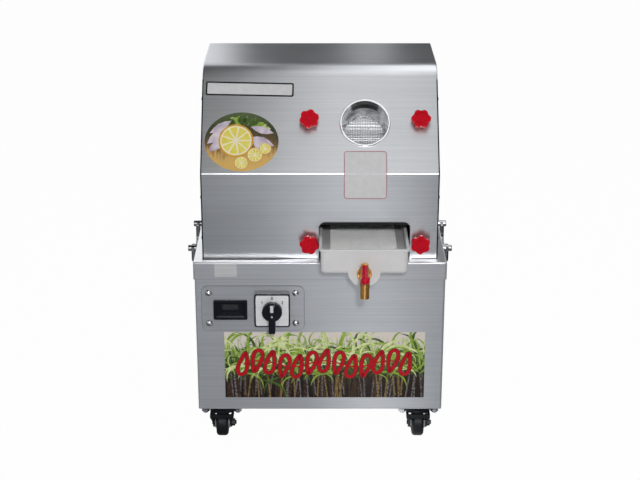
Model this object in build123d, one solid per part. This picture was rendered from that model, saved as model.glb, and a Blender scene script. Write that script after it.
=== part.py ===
"""Sugarcane juicer on casters: stainless cabinet, deck pan, folded hood and a three-roller cane mill.

Millimetres, +Z up, +X to the right and +Y to the back. The origin is on the floor, under the middle
of the machine's outer box. A distance named "back" is measured from the front face of the skirt.
"""

import os
from math import acos, atan2, cos, pi, radians, sin, sqrt, tan

from build123d import *

# Sheet metal
SHEET = 1.5
GAP = 0.3

# Deck pan with its skirt
DECK_WIDTH = 454.0
DECK_DEPTH = 350.0
RIM_Z = 360.0
SKIRT_HEIGHT = 33.0
DECK_CORNER = 4.0
DECK_EDGE = 3.2
WIRE_HOLE_RADIUS = 14.0
WIRE_HOLE_X = -150.0
WIRE_HOLE_BACK = 270.0

# Cabinet
CABINET_WIDTH = 450.0
CABINET_FRONT = 2.0
CABINET_BACK = 346.0
CABINET_BOTTOM = 67.6
CABINET_CORNER = 4.0
FLOOR_THICK = 2.0
FLOOR_EDGE = 18.0
VENT_COUNT = 9
VENT_LENGTH = 70.0
VENT_WIDTH = 5.0
VENT_STEP = 13.0
VENT_Z = 230.0

# Casters
CASTER_X = 183.0
CASTER_INSET = 42.0
CASTER_PLATE = (74.0, 66.0, 5.0)
CASTER_BOLT_SPREAD = (60.0, 52.0)
CASTER_TRAIL = 11.0
WHEEL_RADIUS = 25.0
WHEEL_WIDTH = 22.0
HUB_RADIUS = 10.5
HUB_PROUD = 3.0
WHEEL_SHOULDER = 6.0
AXLE_RADIUS = 4.0
KING_PIN_RADIUS = 5.0
CROWN_TOP = 59.0
CROWN_HALF = 22.0
CROWN_NOSE = 33.0
CROWN_CAP_RADIUS = 31.0
CROWN_CAP_HEIGHT = 7.0
CROWN_SHOULDER = 14.0
APRON_Z = 44.0
LEG_SHEET = 3.2
RACE_RADIUS = 22.0
RUN_FIT = 0.05

# Hood
HOOD_WIDTH = 422.0
HOOD_FRONT = 20.0
HOOD_BACK = 328.0
HOOD_TOP = 683.0
FOLD_Z = 519.5
LEAN = radians(38.0)
FOLD_RADIUS = 5.0
BEND_RADIUS = 50.0
BACK_RADIUS = 8.0
LIP = 16.0
HOOD_EDGE = 2.5
NOTCH_X = 79.3
NOTCH_WIDTH = 163.0
NOTCH_TOP = 429.5
NOTCH_CORNER = 12.0

# Mill: everything is laid out from the feed axis, square to the sloping panel
MILL_X = 80.0
PORT_UP_SLOPE = 96.0
PORT_RADIUS = 42.0
COLLAR_RADIUS = 45.0
COLLAR_PROUD = 3.0
COLLAR_DEPTH = 14.0
FUNNEL_END_RADIUS = 38.0
FUNNEL_LENGTH = 69.0
NIP_DEPTH = 103.0
GEAR_MODULE = 3.0
GEAR_TEETH = 22
PINION_TEETH = 14
PRESSURE_ANGLE = radians(20.0)
TOOTH_THINNING = 0.6
ROLLER_RADIUS = 32.0
FLUTES = 36
FLUTE_DEPTH = 2.0
REAR_ROLLER_ANGLE = radians(35.7)
PINION_ANGLE = radians(20.0)
SHAFT_RADIUS = 11.0
PLATE_OFFSET = 99.0
PLATE_THICK = 12.0
PLATE_TOP = 622.0
PLATE_BACK = 262.0
ROLLER_END_GAP = 4.0
BUSH_RADIUS = 15.0
BUSH_FLANGE = 19.0
BUSH_FLANGE_THICK = 2.0
GEAR_WIDTH = 18.0
GEAR_GAP = 5.0

# Gear motor
MOTOR_PLATE_THICK = 6.0
GEARBOX_RADIUS = 43.0
GEARBOX_LENGTH = 62.0
MOTOR_RADIUS = 37.0
MOTOR_LENGTH = 72.0
PINION_SHAFT_RADIUS = 7.0

# Star knobs
KNOB_SPREAD = 99.0
KNOB_UP_SLOPE = 98.5
KNOB_LOW_Z = 391.5
KNOB_RADIUS = 17.5
KNOB_HEIGHT = 18.0
KNOB_HEAD = 8.5
KNOB_LOBES = 6
KNOB_LOBE_RADIUS = 6.5
KNOB_CORE_RADIUS = 15.0
KNOB_RINGS = ((5.0, 6.2, 0.9), (9.0, 11.0, 1.3))
KNOB_TURNS = {"upper_left": 13, "upper_right": 31, "lower_left": 40, "lower_right": 5}
STUD_RADIUS = 4.0

# Juice tray and strainer
TRAY_X = 77.8
TRAY_WIDTH = 153.5
TRAY_RIM_WIDTH = 159.0
TRAY_FRONT = -45.0
TRAY_BACK = 240.0
TRAY_BOTTOM = 355.3
TRAY_SLIDE_Z = RIM_Z + GAP
TRAY_RIM_Z = 402.0
TRAY_WALL = 2.5
TRAY_CORNER = 9.0
TRAY_RIM_THICK = 4.5
TRAY_RIM_PROUD = 1.5
TRAY_FOOT_RADIUS = 8.5
LEDGE_Z = 386.0
LEDGE_WIDTH = 3.0
LOBE_RADIUS = 28.5
LOBE_Z = 360.5
LOBE_BACK = -2.0
STRAINER_HEIGHT = 12.0
STRAINER_SHEET = 1.0
STRAINER_FLANGE = 6.0
STRAINER_STRIP = 14.0
STRAINER_FINGER_GAP = 18.0
STRAINER_STRIP_START = 25.0
MESH_THICK = 0.8

# Tap
TAP_Z = 357.0
TAP_FLANGE_RADIUS = 13.25
TAP_SHANK_RADIUS = 8.4
TAP_BORE_RADIUS = 5.0
TAP_BALL_BACK = -65.0
TAP_BALL_RADIUS = 7.5
TAP_BARREL_RADIUS = 10.0
TAP_SPOUT_BACK = -80.0
TAP_SPOUT_RADIUS = 8.0
TAP_SPOUT_Z = 325.5
TAP_SPOUT_LENGTH = 20.0
TAP_STEM_RADIUS = 3.0
TAP_BOSS_TOP = 377.0
TAP_LEVER_TOP = 384.0
LEVER_END_BACK = -99.5
LEVER_END_Z = 366.5
LEVER_END_RADIUS = 8.0

# Control plate, meter and cam switch
CONTROL_X = -121.0
CONTROL_Z = 270.5
CONTROL_SIZE = (184.0, 87.0)
CONTROL_CORNER = 11.0
CONTROL_SCREW_SPREAD = (156.4, 59.0)
CONTROL_SCREW_Z = 271.5
SCREW_RADIUS = 6.2
SCREW_HEIGHT = 4.0
METER_X = -161.5
METER_Z = 269.0
METER_SIZE = (61.0, 38.0)
METER_PROUD = 4.5
METER_FRAME = 4.5
METER_BEVEL = 3.0
METER_RECESS = 2.0
METER_BODY = (56.0, 32.0)
METER_BODY_DEPTH = 14.0
WINDOW_SIZE = (28.0, 10.5)
WINDOW_UP = 5.5
WINDOW_THICK = 1.2
SWITCH_X = -86.0
SWITCH_Z = 270.8
SWITCH_PLATE = 64.0
SWITCH_PLATE_THICK = 3.0
SWITCH_BASE = 58.0
SWITCH_BASE_DEPTH = 8.0
SWITCH_KNOB_RADIUS = 18.0
SWITCH_KNOB_THICK = 9.0
SWITCH_ARM_REACH = 37.0
SWITCH_ARM_WIDTH = 12.0
SWITCH_ARM_HEIGHT = 21.0
SWITCH_SHAFT_RADIUS = 4.0
CONTACT_SIZE = 48.0
CONTACT_DEPTH = 52.0

# Carrying handles
HANDLE_MID = 170.0
HANDLE_SPREAD = 132.0
HANDLE_PIVOT_Z = 348.0
HANDLE_PIVOT_OUT = 8.0
POST_RADIUS = 5.8
POST_LENGTH = 17.0
POST_FOOT_RADIUS = 8.5
POST_FOOT_THICK = 2.5
BAIL_RADIUS = 4.2
TRUNNION_RADIUS = 3.5
BAIL_DROP = 31.0
BAIL_BEND = 9.0

# Batteries and charging socket
BATTERY_SIZE = (181.0, 77.0, 160.0)
BATTERY_X = 112.0
BATTERY_BACK = 200.0
TERMINAL_SIZE = (14.0, 8.0, 10.0)
SOCKET_X = 130.0
SOCKET_Z = 300.0
SOCKET_RADIUS = 10.0
SOCKET_FLANGE = 26.0

# Bagasse chute
CHUTE_WIDTH = 144.0
CHUTE_WALL = 45.0
CHUTE_START = (250.0, 525.2)
CHUTE_END = (345.0, 494.2)
CHUTE_FLANGE_MARGIN = 14.0

# The outer box runs from the lever's round end to the back of the skirt
FRONT_Y = -(LEVER_END_BACK - LEVER_END_RADIUS + DECK_DEPTH) / 2

SLOPE_UP = (sin(LEAN), cos(LEAN))
SLOPE_IN = (cos(LEAN), -sin(LEAN))


def at(x, back, z):
    """Location of a point given by its distance back from the skirt's front."""
    return Pos(x, FRONT_Y + back, z)


def slab(x_range, back_range, z_range):
    """Box between limits."""
    size = [high - low for low, high in (x_range, back_range, z_range)]
    middle = [(high + low) / 2 for low, high in (x_range, back_range, z_range)]
    return at(*middle) * Box(*size)


def across(face, x_range):
    """Solid drawn in the side view, as (back, z), and extruded across the machine."""
    plane = Plane(origin=(x_range[0], FRONT_Y, 0), x_dir=(0, 1, 0), z_dir=(1, 0, 0))
    return extrude(plane * face, x_range[1] - x_range[0])


def frontal(face, back_range):
    """Solid drawn in the front view, as (x, z), and extruded from the front to the back."""
    plane = Plane(origin=(0, FRONT_Y + back_range[1], 0), x_dir=(1, 0, 0), z_dir=(0, -1, 0))
    return extrude(plane * face, back_range[1] - back_range[0])


def rod_x(back, z, radius, x_range):
    """Round bar across the machine."""
    return across(Pos(back, z) * Circle(radius), x_range)


def rod_y(x, z, radius, back_range):
    """Round bar from the front to the back."""
    return frontal(Pos(x, z) * Circle(radius), back_range)


def rod_z(x, back, radius, z_range):
    """Upright round bar."""
    height = z_range[1] - z_range[0]
    return at(x, back, z_range[0]) * extrude(Circle(radius), height)


def rounded(width, height, radius):
    """Rectangle with round corners."""
    return RectangleRounded(width, height, radius)


def slope_point(up_slope, depth=0.0):
    """Point (back, z) on the sloping panel, some way up from the fold and some way inside."""
    back = HOOD_FRONT + up_slope * SLOPE_UP[0] + depth * SLOPE_IN[0]
    z = FOLD_Z + up_slope * SLOPE_UP[1] + depth * SLOPE_IN[1]
    return back, z


def slope_frame(x, up_slope):
    """Location on the sloping panel whose Z points out of it."""
    back, z = slope_point(up_slope)
    normal = (0, -SLOPE_IN[0], -SLOPE_IN[1])
    return Plane(origin=(x, FRONT_Y + back, z), x_dir=(1, 0, 0), z_dir=normal).location


def front_frame(x, z, back):
    """Location on an upright front face whose Z points out to the front."""
    return Plane(origin=(x, FRONT_Y + back, z), x_dir=(1, 0, 0), z_dir=(0, -1, 0)).location


def spun(points):
    """Solid of revolution about Z from a closed outline of (radius, height) points."""
    outline = make_face(Polyline(*points, close=True))
    return revolve(Plane.XZ * outline, Axis.Z)


# Mill layout in the side view, as (back, z)
GEAR_PITCH_RADIUS = GEAR_MODULE * GEAR_TEETH / 2
PINION_PITCH_RADIUS = GEAR_MODULE * PINION_TEETH / 2
NIP = slope_point(PORT_UP_SLOPE, NIP_DEPTH)
TOP_AXIS = (NIP[0] + GEAR_PITCH_RADIUS * SLOPE_UP[0], NIP[1] + GEAR_PITCH_RADIUS * SLOPE_UP[1])
FRONT_AXIS = (NIP[0] - GEAR_PITCH_RADIUS * SLOPE_UP[0], NIP[1] - GEAR_PITCH_RADIUS * SLOPE_UP[1])
REAR_AXIS = (
    TOP_AXIS[0] + 2 * GEAR_PITCH_RADIUS * sin(REAR_ROLLER_ANGLE),
    TOP_AXIS[1] - 2 * GEAR_PITCH_RADIUS * cos(REAR_ROLLER_ANGLE),
)
PINION_DISTANCE = GEAR_PITCH_RADIUS + PINION_PITCH_RADIUS
PINION_AXIS = (
    TOP_AXIS[0] + PINION_DISTANCE * cos(PINION_ANGLE),
    TOP_AXIS[1] + PINION_DISTANCE * sin(PINION_ANGLE),
)
ROLLER_AXES = {"top": TOP_AXIS, "front": FRONT_AXIS, "rear": REAR_AXIS}

# Mill layout across the machine
LEFT_PLATE_X = (MILL_X - PLATE_OFFSET - PLATE_THICK / 2, MILL_X - PLATE_OFFSET + PLATE_THICK / 2)
RIGHT_PLATE_X = (MILL_X + PLATE_OFFSET - PLATE_THICK / 2, MILL_X + PLATE_OFFSET + PLATE_THICK / 2)
GEAR_X = (LEFT_PLATE_X[0] - GEAR_GAP - GEAR_WIDTH, LEFT_PLATE_X[0] - GEAR_GAP)
SHAFT_X = (GEAR_X[0] - 4.0, RIGHT_PLATE_X[1] + 4.0)
MOTOR_PLATE_X = (SHAFT_X[0] - 4.0 - MOTOR_PLATE_THICK, SHAFT_X[0] - 4.0)


def deck_pan():
    """Flat deck with a skirt all round, open below."""
    outer = at(0, DECK_DEPTH / 2, RIM_Z - SKIRT_HEIGHT) * extrude(
        rounded(DECK_WIDTH, DECK_DEPTH, DECK_CORNER), SKIRT_HEIGHT
    )
    outer = fillet(outer.faces().sort_by(Axis.Z)[-1].edges(), DECK_EDGE)
    inner = at(0, DECK_DEPTH / 2, RIM_Z - SKIRT_HEIGHT) * extrude(
        rounded(DECK_WIDTH - 2 * SHEET, DECK_DEPTH - 2 * SHEET, DECK_CORNER - SHEET),
        SKIRT_HEIGHT - SHEET,
    )
    wire_hole = rod_z(WIRE_HOLE_X, WIRE_HOLE_BACK, WIRE_HOLE_RADIUS, (RIM_Z - 10, RIM_Z + 10))
    return outer - inner - wire_hole


def cabinet_shell():
    """Front and two sides in one folded sheet, with cut-outs for the meter, switch and its shaft."""
    depth = CABINET_BACK - CABINET_FRONT + 4 * CABINET_CORNER
    height = RIM_Z - SHEET - CABINET_BOTTOM
    middle = at(0, CABINET_FRONT + depth / 2, CABINET_BOTTOM)
    outer = middle * extrude(rounded(CABINET_WIDTH, depth, CABINET_CORNER), height)
    inner = middle * extrude(
        rounded(CABINET_WIDTH - 2 * SHEET, depth - 2 * SHEET, CABINET_CORNER - SHEET), height
    )
    half = CABINET_WIDTH / 2
    open_back = slab(
        (-half - 1, half + 1), (CABINET_BACK, CABINET_BACK + 6 * CABINET_CORNER), (0, RIM_Z)
    )
    return outer - inner - open_back - panel_cuts()


def panel_cuts():
    """Cut-outs through the control plate and the cabinet's front."""
    reach = (CABINET_FRONT - 5, CABINET_FRONT + 5)
    meter = frontal(Pos(METER_X, METER_Z) * Rectangle(METER_BODY[0] + 1, METER_BODY[1] + 1), reach)
    shaft = rod_y(SWITCH_X, SWITCH_Z, SWITCH_SHAFT_RADIUS + 2, reach)
    screws = [rod_y(x, z, 2.2, reach) for x, z in control_screw_places()]
    return [meter, shaft, *screws]


def cabinet_floor():
    """Floor sheet with short upturned edges and holes for the caster bolts."""
    width = CABINET_WIDTH - 2 * SHEET
    depth = CABINET_BACK - CABINET_FRONT - SHEET
    middle = at(0, CABINET_BACK - depth / 2, CABINET_BOTTOM)
    tray = middle * extrude(rounded(width, depth, CABINET_CORNER - SHEET), FLOOR_EDGE)
    inside = Pos(0, 0, FLOOR_THICK) * middle * extrude(
        rounded(width - 2 * FLOOR_THICK, depth - 2 * FLOOR_THICK, 1), FLOOR_EDGE
    )
    return tray - inside - caster_bolt_holes()


def cabinet_back_panel():
    """Back sheet with rows of vent slots and the charging socket's hole."""
    half = CABINET_WIDTH / 2
    reach = (CABINET_BACK, CABINET_BACK + SHEET)
    panel = frontal(
        Pos(0, (CABINET_BOTTOM + RIM_Z - SHEET) / 2)
        * rounded(2 * half, RIM_Z - SHEET - CABINET_BOTTOM - 2, CABINET_CORNER),
        reach,
    )
    slots = []
    for side in (-1, 1):
        for row in range(VENT_COUNT):
            z = VENT_Z + (row - VENT_COUNT // 2) * VENT_STEP
            slot = Pos(side * VENT_LENGTH, z) * SlotOverall(VENT_LENGTH, VENT_WIDTH)
            slots.append(frontal(slot, (reach[0] - 1, reach[1] + 1)))
    socket = rod_y(SOCKET_X, SOCKET_Z, SOCKET_RADIUS + 0.2, (reach[0] - 1, reach[1] + 1))
    return panel - slots - socket


def charging_socket():
    """Round chassis socket with a square flange on the back panel."""
    face = CABINET_BACK + SHEET
    centre = Pos(SOCKET_X, SOCKET_Z)
    flange = frontal(centre * rounded(SOCKET_FLANGE, SOCKET_FLANGE, 4), (face, face + 2))
    body = rod_y(SOCKET_X, SOCKET_Z, SOCKET_RADIUS, (CABINET_BACK - 22, face + 1))
    mouth = rod_y(SOCKET_X, SOCKET_Z, SOCKET_RADIUS - 2, (CABINET_BACK - 8, face + 3))
    pins = [
        rod_y(SOCKET_X + 4 * cos(turn), SOCKET_Z + 4 * sin(turn), 1.2, (CABINET_BACK - 9, face - 1))
        for turn in (pi / 2, pi * 7 / 6, pi * 11 / 6)
    ]
    return flange + body - mouth + pins


def batteries():
    """Two sealed batteries, each with a lid step and two terminals."""
    width, depth, height = BATTERY_SIZE
    solids = []
    for side in (-1, 1):
        floor = CABINET_BOTTOM + FLOOR_THICK
        case = at(side * BATTERY_X, BATTERY_BACK, floor + height / 2) * Box(width, depth, height)
        case = fillet(case.edges().filter_by(Axis.Z), 4)
        lid = at(side * BATTERY_X, BATTERY_BACK, floor + height + 3) * Box(width - 6, depth - 6, 6)
        terminals = [
            at(side * BATTERY_X + end * width / 3, BATTERY_BACK - 20, floor + height + 11)
            * Box(*TERMINAL_SIZE)
            for end in (-1, 1)
        ]
        solids.append(case + lid + terminals)
    return solids


def control_screw_places():
    """Places (x, z) of the four dome screws of the control plate."""
    width, height = CONTROL_SCREW_SPREAD
    return [
        (CONTROL_X - 1.2 + side * width / 2, CONTROL_SCREW_Z + level * height / 2)
        for side in (-1, 1)
        for level in (-1, 1)
    ]


def control_plate():
    """Thin plate with round corners behind the meter and the switch."""
    plate = frontal(
        Pos(CONTROL_X, CONTROL_Z) * rounded(*CONTROL_SIZE, CONTROL_CORNER),
        (CABINET_FRONT - SHEET, CABINET_FRONT),
    )
    return plate - panel_cuts()


def control_plate_screws():
    """Four dome-headed screws."""
    face = CABINET_FRONT - SHEET
    sphere = (SCREW_RADIUS**2 + SCREW_HEIGHT**2) / (2 * SCREW_HEIGHT)
    solids = []
    for x, z in control_screw_places():
        dome = at(x, face + sphere - SCREW_HEIGHT, z) * Sphere(sphere)
        head = dome & rod_y(x, z, SCREW_RADIUS, (face - SCREW_HEIGHT - 1, face))
        solids.append(head + rod_y(x, z, 2, (face - 0.5, face + 10)))
    return solids


METER_FLOOR = CABINET_FRONT - SHEET - METER_PROUD + METER_RECESS


def meter_bezel():
    """Meter frame with a face sunk behind an inward bevel, and a body that snaps through the panel."""
    face = CABINET_FRONT - SHEET
    mouth_back = face - METER_PROUD
    centre = Pos(METER_X, METER_Z)
    frame = frontal(centre * rounded(*METER_SIZE, METER_BEVEL), (mouth_back, face))
    frame = fillet(frame.faces().sort_by(Axis.Y)[0].edges(), 0.8)
    width, height = [size - 2 * METER_FRAME for size in METER_SIZE]
    mouth = front_frame(METER_X, METER_Z, mouth_back) * Rectangle(width, height)
    floor = front_frame(METER_X, METER_Z, METER_FLOOR) * Rectangle(
        width - 2 * METER_BEVEL, height - 2 * METER_BEVEL
    )
    body = frontal(centre * Rectangle(*METER_BODY), (face - 0.5, face + METER_BODY_DEPTH))
    window = frontal(
        Pos(METER_X, METER_Z + WINDOW_UP) * Rectangle(*WINDOW_SIZE),
        (METER_FLOOR - 1, METER_FLOOR + WINDOW_THICK),
    )
    return frame + body - loft([mouth, floor]) - window


def meter_window():
    """Display glass set into the bezel."""
    centre = Pos(METER_X, METER_Z + WINDOW_UP)
    return frontal(centre * Rectangle(*WINDOW_SIZE), (METER_FLOOR + GAP, METER_FLOOR + WINDOW_THICK))


SWITCH_BASE_BACK = (CABINET_FRONT - SHEET - SWITCH_BASE_DEPTH, CABINET_FRONT - SHEET)
SWITCH_PLATE_BACK = (SWITCH_BASE_BACK[0] - SWITCH_PLATE_THICK, SWITCH_BASE_BACK[0])


def switch_base():
    """Square housing between the control plate and the face plate."""
    base = frontal(Pos(SWITCH_X, SWITCH_Z) * rounded(SWITCH_BASE, SWITCH_BASE, 3), SWITCH_BASE_BACK)
    reach = (SWITCH_BASE_BACK[0] - 1, SWITCH_BASE_BACK[1] + 1)
    return base - rod_y(SWITCH_X, SWITCH_Z, SWITCH_SHAFT_RADIUS + RUN_FIT, reach)


def switch_plate():
    """Square face plate with a soft edge."""
    plate = frontal(Pos(SWITCH_X, SWITCH_Z) * rounded(SWITCH_PLATE, SWITCH_PLATE, 4), SWITCH_PLATE_BACK)
    plate = fillet(plate.faces().sort_by(Axis.Y)[0].edges(), 0.8)
    reach = (SWITCH_PLATE_BACK[0] - 1, SWITCH_PLATE_BACK[1] + 1)
    return plate - rod_y(SWITCH_X, SWITCH_Z, SWITCH_SHAFT_RADIUS + RUN_FIT, reach)


def switch_handle():
    """Round knob with a raised grip that runs down past the face plate, on its shaft."""
    rear = SWITCH_PLATE_BACK[0] - 0.4
    disc = rod_y(SWITCH_X, SWITCH_Z, SWITCH_KNOB_RADIUS, (rear - SWITCH_KNOB_THICK, rear))
    disc = fillet(disc.faces().sort_by(Axis.Y)[0].edges(), 1.5)
    top = SWITCH_KNOB_RADIUS - 2
    grip_face = Pos(SWITCH_X, SWITCH_Z + (top - SWITCH_ARM_REACH) / 2) * rounded(
        SWITCH_ARM_WIDTH, top + SWITCH_ARM_REACH, 2.5
    )
    grip = frontal(grip_face, (rear - SWITCH_ARM_HEIGHT, rear - 2))
    grip = fillet(grip.faces().sort_by(Axis.Y)[0].edges(), 2)
    shaft = rod_y(SWITCH_X, SWITCH_Z, SWITCH_SHAFT_RADIUS, (rear - 1, CABINET_FRONT + 20))
    return disc + grip + shaft


def switch_contacts():
    """Stacked contact block behind the panel, with a bore for the shaft."""
    start = CABINET_FRONT + SHEET
    block = frontal(
        Pos(SWITCH_X, SWITCH_Z) * rounded(CONTACT_SIZE, CONTACT_SIZE, 5), (start, start + CONTACT_DEPTH)
    )
    band = Rectangle(CONTACT_SIZE + 2, CONTACT_SIZE + 2) - Rectangle(CONTACT_SIZE - 4, CONTACT_SIZE - 4)
    grooves = [
        frontal(Pos(SWITCH_X, SWITCH_Z) * band, (start + step, start + step + 2))
        for step in (16, 30, 44)
    ]
    bore = rod_y(SWITCH_X, SWITCH_Z, SWITCH_SHAFT_RADIUS + RUN_FIT, (start - 1, start + 22))
    return block - grooves - bore


def caster_places():
    """Name and place (x, back) of the four swivel axes."""
    return {
        f"{end}_{side}": (x, back)
        for end, back in (("front", CASTER_INSET), ("rear", DECK_DEPTH - CASTER_INSET))
        for side, x in (("left", -CASTER_X), ("right", CASTER_X))
    }


def caster_bolt_places():
    """Places (x, back) of all the caster bolts."""
    width, depth = CASTER_BOLT_SPREAD
    return [
        (x + side * width / 2, back + end * depth / 2)
        for x, back in caster_places().values()
        for side in (-1, 1)
        for end in (-1, 1)
    ]


def caster_bolt_holes():
    """Clearance holes through the caster plates and the cabinet floor."""
    return [
        rod_z(x, back, 4.2, (CABINET_BOTTOM - 10, CABINET_BOTTOM + 10))
        for x, back in caster_bolt_places()
    ]


def caster_plates():
    """Four mounting plates, each with a ball race under it and a bore for the king pin."""
    width, depth, thick = CASTER_PLATE
    solids = []
    for x, back in caster_places().values():
        low = CABINET_BOTTOM - thick
        plate = at(x, back, low) * extrude(rounded(width, depth, 6), thick)
        race = rod_z(x, back, RACE_RADIUS, (CROWN_TOP + 0.4, low))
        bore = rod_z(x, back, KING_PIN_RADIUS + RUN_FIT, (0, low + 1))
        solids.append(plate + race - bore - caster_bolt_holes())
    return solids


def caster_bolts():
    """Hexagon-headed bolts down through the floor and the plates, with nuts and thread ends below."""
    low = CABINET_BOTTOM - CASTER_PLATE[2]
    top = CABINET_BOTTOM + FLOOR_THICK
    solids = []
    for x, back in caster_bolt_places():
        nut = at(x, back, low - 6) * extrude(RegularPolygon(7.3, 6), 6)
        head = at(x, back, top) * extrude(RegularPolygon(7.3, 6), 5.2)
        shank = rod_z(x, back, 4, (low - 8.6, top + 1))
        solids.append(head + nut + shank)
    return solids


def caster_fork(x, back):
    """Pressed fork: a round cap, a nose with an apron, and two tapering legs with axle and nut."""
    axle = (-CASTER_TRAIL, WHEEL_RADIUS)
    side_view = make_face(
        Polyline(
            (-CROWN_NOSE, CROWN_TOP),
            (CROWN_HALF, CROWN_TOP),
            (CROWN_HALF, CROWN_TOP - 8),
            (axle[0] + 9, axle[1] - 5),
            (axle[0] - 9, axle[1] - 4),
            (-CROWN_NOSE - 1, CROWN_TOP - 11),
            close=True,
        )
    )
    side_view += Pos(*axle) * Circle(9)
    leg = WHEEL_WIDTH / 2 + HUB_PROUD + 0.6
    shoulder = CROWN_TOP - 6.5
    outer_shoulder = CROWN_TOP - CROWN_SHOULDER
    front_view = make_face(
        Polyline(
            (-CROWN_HALF, CROWN_TOP),
            (CROWN_HALF, CROWN_TOP),
            (CROWN_HALF, outer_shoulder),
            (leg + LEG_SHEET, axle[1] + 6),
            (leg + LEG_SHEET, 0),
            (-leg - LEG_SHEET, 0),
            (-leg - LEG_SHEET, axle[1] + 6),
            (-CROWN_HALF, outer_shoulder),
            close=True,
        )
    )
    wheel_space = make_face(
        Polyline(
            (-leg, 0),
            (leg, 0),
            (leg, axle[1] + 6),
            (CROWN_HALF - LEG_SHEET - 1, shoulder),
            (-CROWN_HALF + LEG_SHEET + 1, shoulder),
            (-leg, axle[1] + 6),
            close=True,
        )
    )
    place = (x, back)
    body = upright(side_view, place, "across") & upright(front_view, place, "frontal")
    body -= upright(wheel_space, place, "frontal")
    apron = frontal(Pos(x, 0) * front_view, (back - CROWN_NOSE - 0.9, back - CROWN_NOSE + 2))
    body += apron & slab((x - 40, x + 40), (back - 60, back), (APRON_Z, shoulder + 0.5))
    cap_range = (CROWN_TOP - CROWN_CAP_HEIGHT, CROWN_TOP)
    around = rod_z(x, back, 80, cap_range) - rod_z(x, back, CROWN_CAP_RADIUS, cap_range)
    body -= around
    outer = leg + LEG_SHEET
    pin = rod_x(back + axle[0], axle[1], AXLE_RADIUS, (x - outer - 2, x + outer + 8))
    nut_place = Pos(back + axle[0], axle[1])
    nut = across(nut_place * RegularPolygon(7, 6), (x + outer - 0.2, x + outer + 5.5))
    king_pin = rod_z(x, back, KING_PIN_RADIUS, (CROWN_TOP - 2, CABINET_BOTTOM - CASTER_PLATE[2]))
    return body + pin + nut + king_pin


def upright(face, place, view):
    """Side or front view of a caster part, extruded through it about its swivel axis."""
    x, back = place
    reach = 40.0
    if view == "across":
        return across(Pos(back, 0) * face, (x - reach, x + reach))
    return frontal(Pos(x, 0) * face, (back - reach, back + reach))


def caster_wheel(x, back):
    """Wheel with rounded shoulders, dished sides and a bored hub."""
    half = WHEEL_WIDTH / 2
    outline = make_face(
        Polyline(
            (AXLE_RADIUS + RUN_FIT, half + HUB_PROUD),
            (HUB_RADIUS, half + HUB_PROUD),
            (HUB_RADIUS + 0.8, half - 2),
            (16.5, half - 2),
            (18, half),
            (WHEEL_RADIUS, half),
            (WHEEL_RADIUS, -half),
            (18, -half),
            (16.5, -half + 2),
            (HUB_RADIUS + 0.8, -half + 2),
            (HUB_RADIUS, -half - HUB_PROUD),
            (AXLE_RADIUS + RUN_FIT, -half - HUB_PROUD),
            close=True,
        )
    )
    outline = fillet(outline.vertices().group_by(Axis.X)[-1], WHEEL_SHOULDER)
    wheel = revolve(Plane.XZ * outline, Axis.Z)
    return at(x, back - CASTER_TRAIL, WHEEL_RADIUS) * Rot(0, 90, 0) * wheel


def hood_outline(inset, bottom):
    """Side view of the hood, some way inside its outer faces."""
    front = HOOD_FRONT + inset
    top = HOOD_TOP - inset
    fold = (front, FOLD_Z - inset * tan(LEAN / 2))
    rise = (top - fold[1]) / cos(LEAN)
    corner = (fold[0] + rise * sin(LEAN), top)
    back = HOOD_BACK - inset
    outline = make_face(
        Polyline((front, bottom), fold, corner, (back, top), (back, bottom), close=True)
    )
    bends = ((fold, FOLD_RADIUS), (corner, BEND_RADIUS), ((back, top), BACK_RADIUS))
    for point, radius in bends:
        vertex = outline.vertices().sort_by_distance(Vector(*point))[0]
        outline = fillet(vertex, max(radius - inset, 1.0))
    return outline


def knob_frames():
    """Name and location of the four star knobs, Z pointing out of the hood."""
    frames = {}
    for side, x in (("left", MILL_X - KNOB_SPREAD), ("right", MILL_X + KNOB_SPREAD)):
        frames[f"upper_{side}"] = slope_frame(x, KNOB_UP_SLOPE)
        frames[f"lower_{side}"] = front_frame(x, KNOB_LOW_Z, HOOD_FRONT)
    return frames


def hood_shell():
    """Whole wrap of the hood: front, slope, top and back, with lips turned in along both sides."""
    half = HOOD_WIDTH / 2
    shell = across(hood_outline(0, RIM_Z), (-half, half))
    sides = [edge for face in shell.faces().filter_by(Axis.X) for edge in face.edges()]
    shell = fillet([edge for edge in sides if edge.center().Z > RIM_Z + 1], HOOD_EDGE)
    shell -= across(hood_outline(SHEET, RIM_Z - 5), (-half + SHEET, half - SHEET))
    shell -= across(hood_outline(LIP, RIM_Z - 5), (-half - 5, half + 5))
    notch_height = NOTCH_TOP - RIM_Z + 3 * NOTCH_CORNER
    notch = frontal(
        Pos(NOTCH_X, NOTCH_TOP - notch_height / 2) * rounded(NOTCH_WIDTH, notch_height, NOTCH_CORNER),
        (HOOD_FRONT - 5, HOOD_FRONT + 5),
    )
    shell -= notch
    shell -= slope_frame(MILL_X, PORT_UP_SLOPE) * Cylinder(PORT_RADIUS + SHEET + 0.5, 20)
    for frame in knob_frames().values():
        shell -= frame * Cylinder(STUD_RADIUS + 0.5, 20)
    outlet_low = CHUTE_END[1] + 1
    outlet = slab(
        (MILL_X - CHUTE_WIDTH / 2 - 1, MILL_X + CHUTE_WIDTH / 2 + 1),
        (HOOD_BACK - 5, HOOD_BACK + 5),
        (outlet_low, outlet_low + CHUTE_WALL + 12),
    )
    return shell - outlet


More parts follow.
